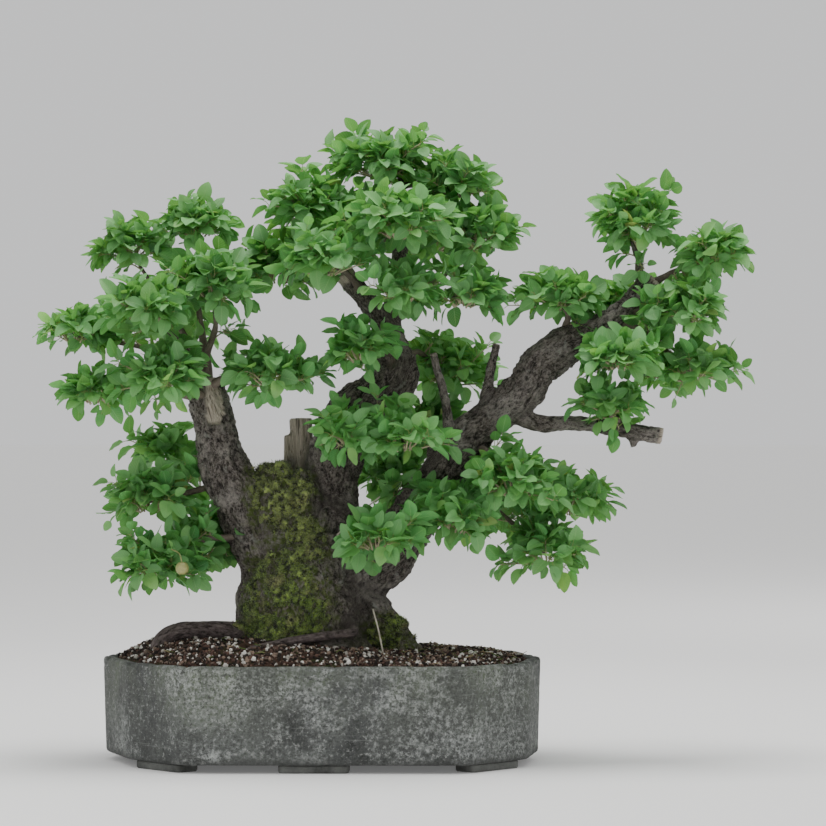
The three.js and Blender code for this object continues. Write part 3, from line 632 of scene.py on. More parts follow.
def leaf_material():
    """A leaf: green by its own tint, paler veins by its place along and across the blade, a dull
    underside, and some light let through."""
    material, r, shader = new_material("Leaf", 0.46, 0.27)
    uv = r.add("ShaderNodeUVMap", uv_map="Leaf").outputs[0]
    split = r.split(uv)
    across = r.math("ABSOLUTE", r.math("SUBTRACT", split[1], 0.5))
    tint, stalk, age = r.kept("tint"), r.kept("stalk"), r.kept("age")
    green = r.mix(tint, (0.042, 0.16, 0.045), (0.24, 0.66, 0.2))
    green = r.mix(r.ramp(tint, 0.78, 1.0), green, (0.36, 0.66, 0.14))
    green = r.mix(age, green, (0.62, 0.62, 0.2))
    cloud = r.noise(r.object_place(), 70.0, 3.0, 0.6)
    green = r.mix(r.ramp(cloud, 0.38, 0.62, 0.0, 0.4), green, (0.07, 0.3, 0.11))
    midrib = r.ramp(across, 0.008, 0.035, 1.0, 0.0)
    sweep = r.math("SUBTRACT", r.times(split[0], 7.5), r.times(across, 5.0))
    side = r.math("ABSOLUTE", r.math("SUBTRACT", r.math("FRACT", sweep), 0.5))
    side = r.ramp(side, 0.03, 0.11, 0.55, 0.0)
    veins = r.math("MAXIMUM", midrib, side)
    green = r.mix(r.times(veins, 0.5), green, (0.4, 0.66, 0.27))
    under = r.add("ShaderNodeNewGeometry").outputs["Backfacing"]
    dull = r.mix(0.45, green, (0.27, 0.52, 0.22))
    colour = r.mix(under, green, dull)
    colour = r.mix(stalk, colour, (0.38, 0.46, 0.17))
    height = r.math("SUBTRACT", r.times(cloud, 0.3), veins)
    normal = r.bump(height, 0.35, 0.0006)
    set_inputs(r, shader, Base_Color=colour, Normal=normal,
               Roughness=r.ramp(cloud, 0.3, 0.7, 0.4, 0.56))
    through = r.add("ShaderNodeBsdfTranslucent", {"Color": r.mix(0.5, colour, (0.34, 0.74, 0.08)),
                                                  "Normal": normal})
    blend = r.add("ShaderNodeMixShader", {0: 0.32, 1: shader.outputs[0], 2: through.outputs[0]})
    output = next(node for node in r.tree.nodes if node.type == "OUTPUT_MATERIAL")
    r.tree.links.new(blend.outputs[0], output.inputs["Surface"])
    return material


def twig_material():
    """Young bark: tan grey-green, with small pale pores."""
    material, r, shader = new_material("Twig bark", 0.75, 0.4)
    place = r.object_place()
    cloud = r.noise(place, 60.0, 4.0, 0.6)
    colour = r.mix(r.ramp(cloud, 0.35, 0.65), (0.055, 0.042, 0.034), (0.15, 0.12, 0.1))
    colour = r.mix(r.kept("young"), colour, (0.5, 0.44, 0.27))
    grain = r.group(GRAIN, Place=place, Scale=800.0)
    colour = r.mix(r.times(grain["Mask"], 0.35), colour, (0.4, 0.34, 0.26))
    set_inputs(r, shader, Base_Color=colour, Normal=r.bump(grain["Height"], 0.5, 0.0005))
    return material


def moss_material():
    """Moss: bright green tips over brown-green undersides, by each frond's own height and tone, with
    near-black spots of painted shade in its pockets, and paler high up the trunk."""
    material, r, shader = new_material("Moss", 0.9, 0.2, **{"Sheen Weight": 0.3})
    tip, tone = r.kept("tip"), r.kept("tone")
    place = r.object_place()
    cloud = r.noise(place, 38.0, 4.0, 0.6)
    low = r.mix(r.ramp(cloud, 0.38, 0.62), (0.006, 0.009, 0.003), (0.06, 0.055, 0.02))
    high = r.mix(r.ramp(tone, 0.15, 1.0), (0.06, 0.16, 0.02), (0.66, 0.9, 0.2))
    high = r.mix(r.ramp(cloud, 0.52, 0.66, 0.0, 0.75), high, (0.46, 0.42, 0.22))
    colour = r.mix(tip, low, high)
    up = r.split(place)[2]
    colour = r.mix(r.times(r.ramp(up, 0.2, 0.28, 0.0, 0.4), tip), colour, (0.55, 0.53, 0.26))
    # Painted shade: where a fine noise is low, the moss is darkened almost to black, for shade in its
    # pockets.
    painted_shade_pockets = r.ramp(r.noise(place, 150.0, 5.0, 0.72), 0.42, 0.52, 0.94, 0.0)
    set_inputs(r, shader, Base_Color=r.mix(painted_shade_pockets, colour, (0.012, 0.011, 0.007)))
    return material


def plain_material(name, low, high, scale, roughness, specular=0.4, bump=0.0005):
    """Two tones mottled at one scale, with fine grain."""
    material, r, shader = new_material(name, roughness, specular)
    place = r.object_place()
    cloud = r.noise(place, scale, 4.0, 0.6)
    grain = r.group(GRAIN, Place=place, Scale=scale * 9)
    share = r.plus(r.times(cloud, 0.7), r.times(grain["Height"], 0.3))
    set_inputs(r, shader, Base_Color=r.mix(r.ramp(share, 0.36, 0.64), low, high),
               Normal=r.bump(grain["Height"], 0.5, bump))
    return material


BARK = bark_material()
LEAF = leaf_material()
TWIG = twig_material()
MOSS = moss_material()

# ---------------------------------------------------------------- camera and studio


def studio():
    """A level camera in front, a large pale floor and soft lights above and to both sides. The
    floor gives off a little light, so that it meets the far backdrop without an edge."""
    camera = bpy.data.cameras.new("Camera")
    camera.lens = 157
    camera.sensor_width = 36
    camera.clip_end = 60
    holder = put("Camera", camera)
    holder.location = (RIM_MIDDLE[0] + 0.104, -4.1, 0.394)
    holder.rotation_euler = (math.pi / 2, 0, 0)
    bpy.context.scene.camera = holder

    floor_mesh = bpy.data.meshes.new("Floor")
    size = 40.0
    floor_mesh.from_pydata([(-size, -size, 0), (size, -size, 0), (size, size, 0), (-size, size, 0)],
                           [], [(0, 1, 2, 3)])
    floor_mesh.materials.append(new_material("Studio floor", 0.9, 0.1, **{
        "Base Color": (0.83, 0.825, 0.81, 1), "Emission Color": (1, 1, 1, 1),
        "Emission Strength": 0.12})[0])
    floor = put("Floor", floor_mesh)

    world = bpy.data.worlds.new("Studio")
    world.use_nodes = True
    world.node_tree.nodes["Background"].inputs[0].default_value = (0.90, 0.905, 0.91, 1)
    world.node_tree.nodes["Background"].inputs[1].default_value = 0.9
    bpy.context.scene.world = world
    lights = [("Key", (-1.5, -1.9, 2.6), 1.5, 80), ("Fill", (2.3, -1.7, 1.5), 1.6, 16),
              ("Top", (0.1, 0.1, 2.8), 1.4, 62), ("Back", (1.2, 2.4, 1.8), 1.5, 18)]
    for name, where, width, power in lights:
        lamp = bpy.data.lights.new(name, "AREA")
        lamp.shape, lamp.size, lamp.energy = "DISK", width, power
        holder = put(name, lamp)
        holder.location = where
        aim = np.array([0.0, 0.0, 0.35]) - np.array(where)
        holder.rotation_euler = (math.acos(aim[2] / np.linalg.norm(aim)) + math.pi, 0,
                                 math.atan2(aim[0], -aim[1]) + math.pi)


studio()

# ---------------------------------------------------------------- pot

# Corners of the plan as shares of the half length and half depth, anticlockwise from the front
# facet's left end.
PLAN = [(-0.6, -0.98), (0.66, -1), (0.94, -0.56), (1, -0.03), (0.9, 0.58), (0.6, 1), (-0.62, 0.99),
        (-0.93, 0.56), (-1, 0.03), (-0.86, -0.57)]
POT_HALF = np.array([250.0, 175.0])
POT_WALL, POT_FLOOR, POT_FLARE = 14.0, 12.0, 0.012
FOOT_HEIGHT, FOOT_TOP, FOOT_HALVES = 9.0, 8.7, (39, 15)
RIM_HEIGHT = 117.0
BODY_HEIGHT = RIM_HEIGHT - FOOT_HEIGHT


def plan_outline(inset, count, rounding):
    """count points round the plan, evenly spaced: its facets moved in by inset, and the corners
    rounded by averaging the outline with itself over a length of rounding."""
    corners = np.array(PLAN) * POT_HALF
    sides = np.roll(corners, -1, axis=0) - corners
    along = unit(sides)
    inward = np.stack([-along[:, 1], along[:, 0]], -1)
    before, inward_before = np.roll(along, 1, axis=0), np.roll(inward, 1, axis=0)
    turn = before[:, 0] * along[:, 1] - before[:, 1] * along[:, 0]
    slide = (1 - (before * along).sum(1)) / turn
    moved = corners + inward_before * inset - before * (slide * inset)[:, None]
    loop = np.vstack([moved, moved[:1]])
    length = np.concatenate([[0], np.cumsum(np.linalg.norm(np.diff(loop, axis=0), axis=1))])
    want = np.linspace(0, length[-1], count, endpoint=False)
    path = np.stack([np.interp(want, length, loop[:, k]) for k in range(2)], -1)
    reach = max(1, int(rounding / (length[-1] / count) / 2))
    for _ in range(2):
        path = np.mean([np.roll(path, k, axis=0) for k in range(-reach, reach + 1)], axis=0)
    return path


def build_pot():
    """The pot's wall as a profile of (inset, height) points carried round the plan, closed by the
    floor inside and out. Its skin wavers a little and is pitted, and its rim is chipped."""
    around = 620
    outer = [(2.5, 0.0), (0.6, 1.6), (0.0, 4.0)] + [(0.0, z) for z in np.linspace(6.5, 103.0, 42)]
    rim = [(0.3, 105.5), (1.4, 107.4), (3.4, 108.0), (7.0, 108.0), (10.6, 108.0), (12.7, 107.3),
           (13.8, 105.4)]
    inner = [(POT_WALL, z) for z in np.linspace(101.0, POT_FLOOR + 1.5, 12)]
    inner += [(POT_WALL + 1.5, POT_FLOOR)]
    profile = np.array(outer + rim + inner)
    outlines = {inset: plan_outline(inset, around, 15.0) for inset in np.unique(profile[:, 0])}
    rings = np.stack([outlines[inset] for inset, _ in profile])
    height = profile[:, 1][:, None] * np.ones(around)
    widen = 1 - POT_FLARE * (1 - height / BODY_HEIGHT) * (profile[:, 0] < 3)[:, None]
    points = np.concatenate([rings * widen[..., None], (height - BODY_HEIGHT)[..., None]], -1)
    inward = unit(-points * [1, 1, 0])
    waver = (rough(points / [70, 70, 45], 3) - 0.5) * 2.6
    pits = smoothstep(0.63, 0.8, rough(points / [3.4, 3.4, 3.4], 9, 2)) * 0.9
    pocks = smoothstep(0.7, 0.82, rough(points / 8.0, 11, 2)) * 1.2
    edge = smoothstep(99, 107.5, height)
    chips = smoothstep(0.56, 0.8, rough(points / [16, 16, 9], 21)) * 4.5 * edge
    edge_low = smoothstep(7, 0, height)
    chips_low = smoothstep(0.55, 0.8, rough(points / [14, 14, 8], 31)) * 3.5 * edge_low
    outside = smoothstep(8.0, 4.0, profile[:, 0])[:, None]
    shift = (np.abs(waver) * 0.5 + pits + pocks + chips + chips_low) * outside
    points = points + inward * shift[..., None]
    points[..., 2] -= chips * 0.45 * (height > 100) + (edge * np.abs(waver)) * 0.35
    shares = np.array([0.92, 0.8, 0.66, 0.5, 0.34, 0.18])[:, None, None]
    floor_height = POT_FLOOR - BODY_HEIGHT
    under = points[0] * shares[::-1] * [1, 1, 0] - [0, 0, BODY_HEIGHT]
    inside = points[-1] * shares * [1, 1, 0] + [0, 0, floor_height]
    points, *faces = capped(np.concatenate([under, points, inside]),
                            [[0, 0, -BODY_HEIGHT], [0, 0, floor_height]])
    return make_piece("pot_shell", points, faces, pot_material(), ["pot"])


def drill(piece, places, radius, low, high):
    """Cuts round holes straight down through a piece with Boolean modifiers, then applies them."""
    circle = radius * swung(np.array([1, 0, 0]), np.array([0, 1, 0]), turns(48)[:, None])
    for x, y in places:
        ends = np.array([(x, y, low), (x, y, high)])
        points, *faces = capped(circle + ends[:, None], ends)
        cutter = loose("Drill", points * MM + RIM_MIDDLE, faces)
        cut = piece.modifiers.new("Drain hole", "BOOLEAN")
        cut.operation, cut.object, cut.solver = "DIFFERENCE", cutter, "EXACT"
        bake_modifiers(piece)
        bpy.data.objects.remove(cutter)


def bake_modifiers(piece):
    """Replaces a piece's mesh by what its modifiers make of it, and clears them."""
    graph = bpy.context.evaluated_depsgraph_get()
    graph.update()
    done = bpy.data.meshes.new_from_object(piece.evaluated_get(graph))
    piece.modifiers.clear()
    piece.data = done


POT = build_pot()
DRAIN_PLACES, DRAIN_RADIUS = [(-115.0, 0.0), (115.0, 0.0)], 13.0
drill(POT, DRAIN_PLACES, DRAIN_RADIUS, -BODY_HEIGHT - 6, POT_FLOOR - BODY_HEIGHT + 6)


def build_feet():
    """Each foot stands in its solid's place, along its facet: rings of a rounded oblong, drawn in a
    little at the bottom and the top, and roughened."""
    material = plain_material("Foot stoneware", (0.05, 0.052, 0.048), (0.15, 0.155, 0.145), 40, 0.9)
    facets = {"foot_front_left": 9, "foot_front_middle": 0, "foot_front_right": 1,
              "foot_back_right": 4, "foot_back_middle": 5, "foot_back_left": 6}
    corners = np.array(PLAN) * POT_HALF
    for name, facet in facets.items():
        low, high = (np.array(corner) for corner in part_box(name))
        middle = ((low + high) / 2 - RIM_MIDDLE) / MM
        side = unit(corners[(facet + 1) % len(corners)] - corners[facet])
        across = np.array([-side[1], side[0]])
        around, rows = 96, 9
        # a superellipse of power 9: nearly a rectangle, with rounded corners
        ring = swung(np.array([1, 0]), np.array([0, 1]), turns(around)[:, None])
        ring = ring / (np.abs(ring) ** 9).sum(1, keepdims=True) ** (1 / 9) * FOOT_HALVES
        lift = np.linspace(0, FOOT_TOP, rows)
        draw_in = 1.2 * smoothstep(1.6, 0, lift) + 0.8 * smoothstep(FOOT_TOP - 1.1, FOOT_TOP, lift)
        shape = ring[None] * (1 - draw_in[:, None, None] / FOOT_HALVES[1] * np.array([0.4, 1.0]))
        flat = shape[..., :1] * side + shape[..., 1:] * across
        points = np.concatenate([flat + middle[:2], (lift - RIM_HEIGHT)[:, None, None]
                                 * np.ones((1, around, 1))], -1)
        dent = (rough(points / 7.0, 51) - 0.3) * 1.1 * (lift > 0.1)[:, None]
        points[..., :2] -= unit(points[..., :2] - middle[:2]) * dent[..., None]
        ends = [[*middle[:2], height - RIM_HEIGHT] for height in lift[[0, -1]]]
        points, *faces = capped(points, ends)
        make_piece(f"slab_{name}", points, faces, material, [name])


build_feet()


def build_screens():
    """Plastic mesh over each drain hole: two crossing sets of round bars."""
    material = plain_material("Screen plastic", (0.008, 0.009, 0.009), (0.02, 0.021, 0.021), 200, 0.5)
    for name, (x, y) in zip(("drain_screen_left", "drain_screen_right"), DRAIN_PLACES):
        bars = Gathered()
        lift = FOOT_HEIGHT + POT_FLOOR + 1.1 - RIM_HEIGHT
        for shift in np.linspace(-21, 21, 13):
            for swap in (False, True):
                ends = np.array([(-22.0, shift), (22.0, shift)])
                ends = ends[:, ::-1] if swap else ends
                path = np.linspace(*np.column_stack([ends + [x, y], [lift, lift]]), 3)
                bars.add(*tube(path, np.full(3, 0.7), 6))
        bars.make(f"{name}_mesh", material, "screen_plastic", [name])


build_screens()

# ---------------------------------------------------------------- soil

MOUND_LEFT, MOUND_RIGHT, MOUND_BLEND, MOUND_EDGE, SOIL_BELOW_RIM = 26.0, 9.0, 130.0, 6, 2.0


def mound_height(x, from_middle):
    """Height over the rim: the mound's rise, less towards the right, times 1 - from_middle^6."""
    rise = MOUND_LEFT + (MOUND_RIGHT - MOUND_LEFT) * smoothstep(-MOUND_BLEND, MOUND_BLEND, x)
    return rise * (1 - from_middle**MOUND_EDGE) - SOIL_BELOW_RIM


SOIL_OUTLINE = plan_outline(POT_WALL + 0.8, 360, 9.0)


def from_middle_share(xy):
    """0 at the pot's middle and 1 at its wall, along the line out through each place."""
    angle = np.arctan2(SOIL_OUTLINE[:, 1], SOIL_OUTLINE[:, 0])
    order = np.argsort(angle)
    reach = np.linalg.norm(SOIL_OUTLINE, axis=1)[order]
    wall = np.interp(np.arctan2(xy[:, 1], xy[:, 0]), angle[order], reach, period=2 * np.pi)
    return np.linalg.norm(xy, axis=1) / wall


def soil_surface(xy):
    """Heights of the soil at places in plan: the mound with shallow hollows and heaps, and a bed
    hollowed under each surface root."""
    share = np.clip(from_middle_share(xy), 0, 1)
    place = np.column_stack([xy, np.zeros(len(xy))])
    bumps = (rough(place / 26.0, 71) - 0.5) * 7 + (rough(place / 7.0, 73) - 0.5) * 2.4
    height = mound_height(xy[:, 0], share) + bumps * smoothstep(1.02, 0.8, share)
    for name in ("left_root", "thin_root"):
        path = CENTRELINES[name][0]
        gap = np.linalg.norm(xy[:, None] - path[None, :, :2], axis=-1)
        nearest = gap.argmin(1)
        beside = smoothstep(path[nearest, 3] + 11, path[nearest, 3] + 2, gap.min(1))
        bed = path[nearest, 2] - 0.75 * path[nearest, 3]
        height = np.where(bed > 0, height + beside * np.minimum(bed - height, 0), height)
    return height


def build_soil():
    """The grit: rings of the cavity's outline drawn in to its middle, closed down to the floor,
    with irregular few-faced grains of four kinds strewn over it."""
    around = len(SOIL_OUTLINE)
    shares = np.linspace(1.0, 0.02, 64)
    top = np.concatenate([SOIL_OUTLINE * share for share in shares])
    top = np.column_stack([top, soil_surface(top)]).reshape(len(shares), around, 3)
    bed = FOOT_HEIGHT + POT_FLOOR + 0.3 - RIM_HEIGHT
    bottom = np.column_stack([SOIL_OUTLINE, np.full(around, bed)])
    points, *faces = capped(np.concatenate([bottom[None], top]),
                            [[0, 0, bed], [0, 0, top[-1, :, 2].mean()]])
    make_piece("soil_grit", points, faces, soil_material(), ["soil"])

    kinds = [("pumice_grains", 1700, (0.36, 0.33, 0.29), (0.88, 0.85, 0.79)),
             ("clay_grains", 3600, (0.08, 0.055, 0.045), (0.32, 0.235, 0.18)),
             ("lava_grains", 4400, (0.035, 0.022, 0.018), (0.15, 0.085, 0.065)),
             ("bark_grains", 6400, (0.01, 0.008, 0.007), (0.045, 0.033, 0.026))]
    for index, (name, count, low, high) in enumerate(kinds):
        rng = np.random.default_rng(300 + index)
        rng.uniform(0, 1, count)  # not used: it keeps the draws that follow as they are
        share = np.sqrt(rng.uniform(0, 0.975, count))
        pick = rng.integers(0, around, count)
        xy = SOIL_OUTLINE[pick] * share[:, None] + rng.uniform(-1.5, 1.5, (count, 2))
        size = np.clip(rng.gamma(6.0, 0.23, count) + 0.5, 0.9, 3.3) * (1.18 if index == 0 else 1)
        z = soil_surface(xy) + size * rng.uniform(-0.15, 0.5, count)
        stretch = rng.uniform(0.62, 1.2, (count, 3)) * size[:, None]
        stretch[:, 2] *= 0.8
        shapes = BALL[None] * (1 + rng.uniform(-0.2, 0.2, (count, len(BALL), 1)))
        shapes = turned(shapes * stretch[:, None], rng)
        where = np.column_stack([xy, z])[:, None]
        points = (shapes + where).reshape(-1, 3)
        tone = np.repeat(rng.uniform(0, 1, count), len(BALL))
        make_piece(name, points, [copies(BALL_FACES, count, len(BALL))],
                   grain_material(name, low, high), smooth=False,
                   values={"tone": tone})


def build_litter():
    """Bits of stem and fallen leaf on the soil: short curved slivers, thickest to the right."""
    rng = np.random.default_rng(350)
    count = 520
    pick = rng.integers(0, len(SOIL_OUTLINE), count * 3)
    xy = SOIL_OUTLINE[pick] * np.sqrt(rng.uniform(0, 0.93, (count * 3, 1)))
    chosen = rng.uniform(0, 1, len(xy)) < 0.16 + 0.5 * smoothstep(60, 180, xy[:, 0])
    xy = xy[chosen][:count]
    litter = Gathered()
    heights = soil_surface(xy) + 1.2
    for place, height in zip(xy, heights):
        turn, length = rng.uniform(0, 2 * np.pi), rng.uniform(4, 13)
        step = np.array([np.cos(turn), np.sin(turn), rng.uniform(-0.05, 0.4)]) * length
        start = np.array([*place, height])
        path = np.array([start, start + 0.5 * step + rng.normal(0, 0.7, 3), start + step])
        path[:, 2] = np.maximum(path[:, 2], height)
        points, *faces = tube(path, np.array([0.55, 0.5, 0.25]) * rng.uniform(0.7, 1.5), 4)
        litter.add(points, *faces, tone=rng.uniform(0, 1))
    material, r, shader = new_material("Litter", 0.8, 0.3)
    set_inputs(r, shader, Base_Color=r.mix(r.ramp(r.kept("tone"), 0.35, 0.65), (0.1, 0.15, 0.04),
                                           (0.34, 0.26, 0.15)))
    litter.make("soil_litter", material, "granular_soil")


def turned(shapes, rng):
    """Each shape turned by its own random rotation, from a random unit quaternion."""
    q = unit(rng.normal(size=(len(shapes), 4)))
    w, v = q[:, :1], q[:, 1:]
    v = v[:, None]
    return shapes + 2 * np.cross(v, np.cross(v, shapes) + w[:, None] * shapes)


def icosahedron():
    """The twelve corners (0, +-1, +-golden ratio) and their turns, scaled to radius 1, and the
    twenty triangles whose corners are an edge apart, turned to face outwards."""
    golden = (1 + 5**0.5) / 2
    corners = np.array([np.roll((0, a, b * golden), k) for k in range(3)
                        for a in (-1, 1) for b in (-1, 1)])
    apart = np.linalg.norm(corners[:, None] - corners[None], axis=-1)
    near = np.isclose(apart, 2)
    faces = [(a, b, c) for a in range(12) for b in range(a + 1, 12) for c in range(b + 1, 12)
             if near[a, b] and near[b, c] and near[a, c]]
    faces = np.array(faces)
    p = corners[faces]
    inward = (np.cross(p[:, 1] - p[:, 0], p[:, 2] - p[:, 0]) * p[:, 0]).sum(1) < 0
    faces[inward] = faces[inward][:, ::-1]
    return corners / np.linalg.norm(corners[0]), faces


BALL, BALL_FACES = icosahedron()
build_soil()
build_litter()

# ---------------------------------------------------------------- trunk


TRUNK_VOXEL = 2.2


def rough_trunk():
    """Every part of the trunk as a fluted tube, merged into one skin by a voxel remesh."""
    parts = Gathered()
    for index, (path, _) in enumerate(CENTRELINES.values()):
        radii = path[:, 3] * (1 + 0.10 * (noise(path[:, :3] / 17.0, index) - 0.5))
        flute = 0.035 if path[:, 3].max() > 12 else 0.02
        parts.add(*tube(path[:, :3], radii, 40, flute, index))
    points, faces, _ = parts.parts()
    holder = loose("Rough trunk", points, faces)
    remesh = holder.modifiers.new("Skin", "REMESH")
    remesh.mode, remesh.voxel_size, remesh.adaptivity = "VOXEL", TRUNK_VOXEL, 0.0
    graph = bpy.context.evaluated_depsgraph_get()
    graph.update()
    skin = holder.evaluated_get(graph).to_mesh()
    points = np.empty(len(skin.vertices) * 3)
    skin.vertices.foreach_get("co", points)
    corners = np.empty(len(skin.loops), dtype=np.int32)
    skin.loops.foreach_get("vertex_index", corners)
    bpy.data.objects.remove(holder)
    return points.reshape(-1, 3), corners.reshape(-1, 4)


def limb_places(points):
    """For each part of the trunk near each point: how far outside the part's skin the point is,
    and its place along and across the part, in millimetres."""
    found = {}
    for name, (path, along) in CENTRELINES.items():
        tangents, normals, across = cross_frames(path[:, :3])
        nearest = np.empty(len(points), dtype=int)
        for start in range(0, len(points), 20000):
            block = points[start:start + 20000]
            gap = ((block[:, None] - path[None, :, :3]) ** 2).sum(-1)
            nearest[start:start + 20000] = gap.argmin(1)
        away = points - path[nearest, :3]
        step = (away * tangents[nearest]).sum(1)
        a, b = (away * normals[nearest]).sum(1), (away * across[nearest]).sum(1)
        outside = np.linalg.norm(away, axis=1) - path[nearest, 3]
        found[name] = (outside, along[nearest] + step, a, b, along[-1])
    return found


def bark_height(s, a, b, seed):
    """Bark at places along (s) and across (a, b) a limb: long plates between fissures, with smaller
    flakes on them. Returns a height in millimetres and a 0 to 1 level, 0 in the fissures, which the
    bark material darkens as painted shade."""
    place = np.column_stack([s, a, b])
    warp = (rough(place / 24.0, seed + 5, 2) - 0.5)[:, None] * [16.0, 9.0, 9.0]
    plates = rough((place + warp) / [19.0, 7.5, 7.5], seed, 2)
    flakes = rough((place + warp) / [8.0, 4.6, 4.6], seed + 3, 2)
    lumps = rough(place / 24.0, seed + 8, 3) - 0.5
    fissure, cracks = bell(plates, 0.5, 0.05), bell(flakes, 0.5, 0.06)
    height = 7.0 * lumps + 3.4 * (plates - 0.5) + 3.6 * (flakes - 0.5) - 2.6 * fissure - 1.3 * cracks
    return height, 1 - 0.75 * fissure - 0.55 * cracks


def bare_wood_height(s, a, b, seed):
    """Weathered wood: fine ridges and splits that run along the grain."""
    place = np.column_stack([s, a, b])
    grain = rough(place / [45.0, 2.6, 2.6], seed, 2) - 0.5
    splits = smoothstep(0.42, 0.3, rough(place / [60.0, 5.0, 5.0], seed + 4, 2))
    return 1.4 * grain - 2.2 * splits


# Where bark is gone from the left limb, and where wood is torn out of the middle limb: the middle
# and half widths of a round.
BARE_STRIP = ((-119, -42, 294), (14, 19, 38))
TORN_HOLLOW = ((78, -14, 338), (9.0, 14.0, 14.0))
MOSS_PATCHES = {"moss_trunk": [((-46, -58, 66), (62, 50, 62)), ((-22, -40, 128), (32, 40, 40)),
                               ((-46, -26, 186), (40, 42, 50))],
                "moss_buttress": [((84, -22, 30), (42, 26, 26))]}


def patch_mask(points, patches, seed):
    """1 well inside any of the ellipsoids and 0 outside, with a ragged edge."""
    ragged = (rough(points / 9.0, seed) - 0.5) * 0.9
    masks = []
    for centre, halves in patches:
        masks.append(smoothstep(0.0, 0.3, 1 - out_share(points, centre, halves) + ragged * 0.6))
    return np.max(masks, axis=0)


def moss_share(points, patches, seed):
    """How far moss covers each place: full inside its patches, with worn holes in it."""
    holes = smoothstep(0.36, 0.46, rough(points / [11.0, 11.0, 14.0], seed + 1))
    return patch_mask(points, patches, seed) * (0.04 + 0.96 * holes)


def build_trunk():
    """The trunk's skin with its bark: each part's own bark pattern, blended where parts meet."""
    points, quads = rough_trunk()
    normals = point_normals(points, quads)
    places = limb_places(points)
    closest = np.min([found[0] for found in places.values()], axis=0)
    height, level, bare, rind, total = (np.zeros(len(points)) for _ in range(5))
    grain_place = np.zeros((len(points), 3))
    for index, (name, (outside, s, a, b, length)) in enumerate(places.items()):
        weight = np.exp(-(outside - closest) / 2.5)
        near = weight > 0.02
        weight = np.where(near, weight, 0)
        part_height, part_level = bark_height(s[near] + 90 * index, a[near], b[near], 40 + 11 * index)
        slim = np.clip(TRUNK_PARTS[name][len(TRUNK_PARTS[name]) // 2][3] / 22, 0.3, 1)
        full, fade = BARE_ENDS.get(name, (0, 1))
        ragged = (noise(points[near] / 9.0, 5 + index) - 0.5) * min(fade, 30)
        part_bare = full * smoothstep(length - fade - 1, length - fade * 0.6, s[near] + ragged * 0.5)
        wood = bare_wood_height(s[near], a[near], b[near], 80 + index)
        part_rind = 1.0 if name in ("left_root", "thin_root") else 0.0
        mixed = part_height * slim * (1 - 0.75 * part_rind) * (1 - part_bare) + wood * slim * part_bare
        height[near] += weight[near] * mixed
        level[near] += weight[near] * part_level
        bare[near] += weight[near] * part_bare
        rind += weight * part_rind
        part_place = np.column_stack([s[near] + 90 * index, a[near], b[near]])
        grain_place[near] += weight[near, None] * part_place
        total += weight
    height, level, bare, rind = (value / total for value in (height, level, bare, rind))
    grain_place /= total[:, None]
    strip = patch_mask(points, [BARE_STRIP], 61)
    height = height * (1 - strip) + strip * (-2.6 + 0.4 * height)
    bare = np.maximum(bare, smoothstep(0.25, 0.6, strip))
    hollow = smoothstep(1.0, 0.4, out_share(points, *TORN_HOLLOW))
    height -= 9 * hollow
    bare = np.maximum(bare, 0.55 * hollow)
    moss_near = [patch_mask(points, [(c, np.array(h) * 1.25) for c, h in patches], 62)
                 for patches in MOSS_PATCHES.values()]
    green = np.maximum(np.max(moss_near, axis=0), 0.5 * smoothstep(70, 0, points[:, 2])) * (1 - rind)
    points = points + normals * height[:, None]
    make_piece("trunk_bark", points, [quads], BARK, ["trunk"],
               values={"ridge": level, "bare": bare, "green": green, "rind": rind,
                       "grain_place": grain_place})
    return points, quads


TRUNK_POINTS, TRUNK_QUADS = build_trunk()


def build_soil_roots():
    """The main roots inside the soil: tapered tubes out and down from the trunk's foot."""
    roots = Gathered()
    for index in range(6):
        angle = 2 * np.pi * (index + 0.35) / 6
        out = (POT_HALF - POT_WALL) * 0.66 * [np.cos(angle), np.sin(angle)]
        depth = BODY_HEIGHT - POT_FLOOR
        path, _ = smooth_path([(-20, 0, -0.3 * depth, 24), (*(0.5 * out), -0.45 * depth, 15),
                               (*out, -0.62 * depth, 6)], 8.0)
        radii = path[:, 3] * (0.9 + 0.25 * noise(path[:, :3] / 15.0, index))
        roots.add(*tube(path[:, :3], radii, 16, 0.05, index), ridge=1, bare=0, green=0, rind=1)
    roots.make("soil_roots", BARK, "bark")


build_soil_roots()

# ---------------------------------------------------------------- moss


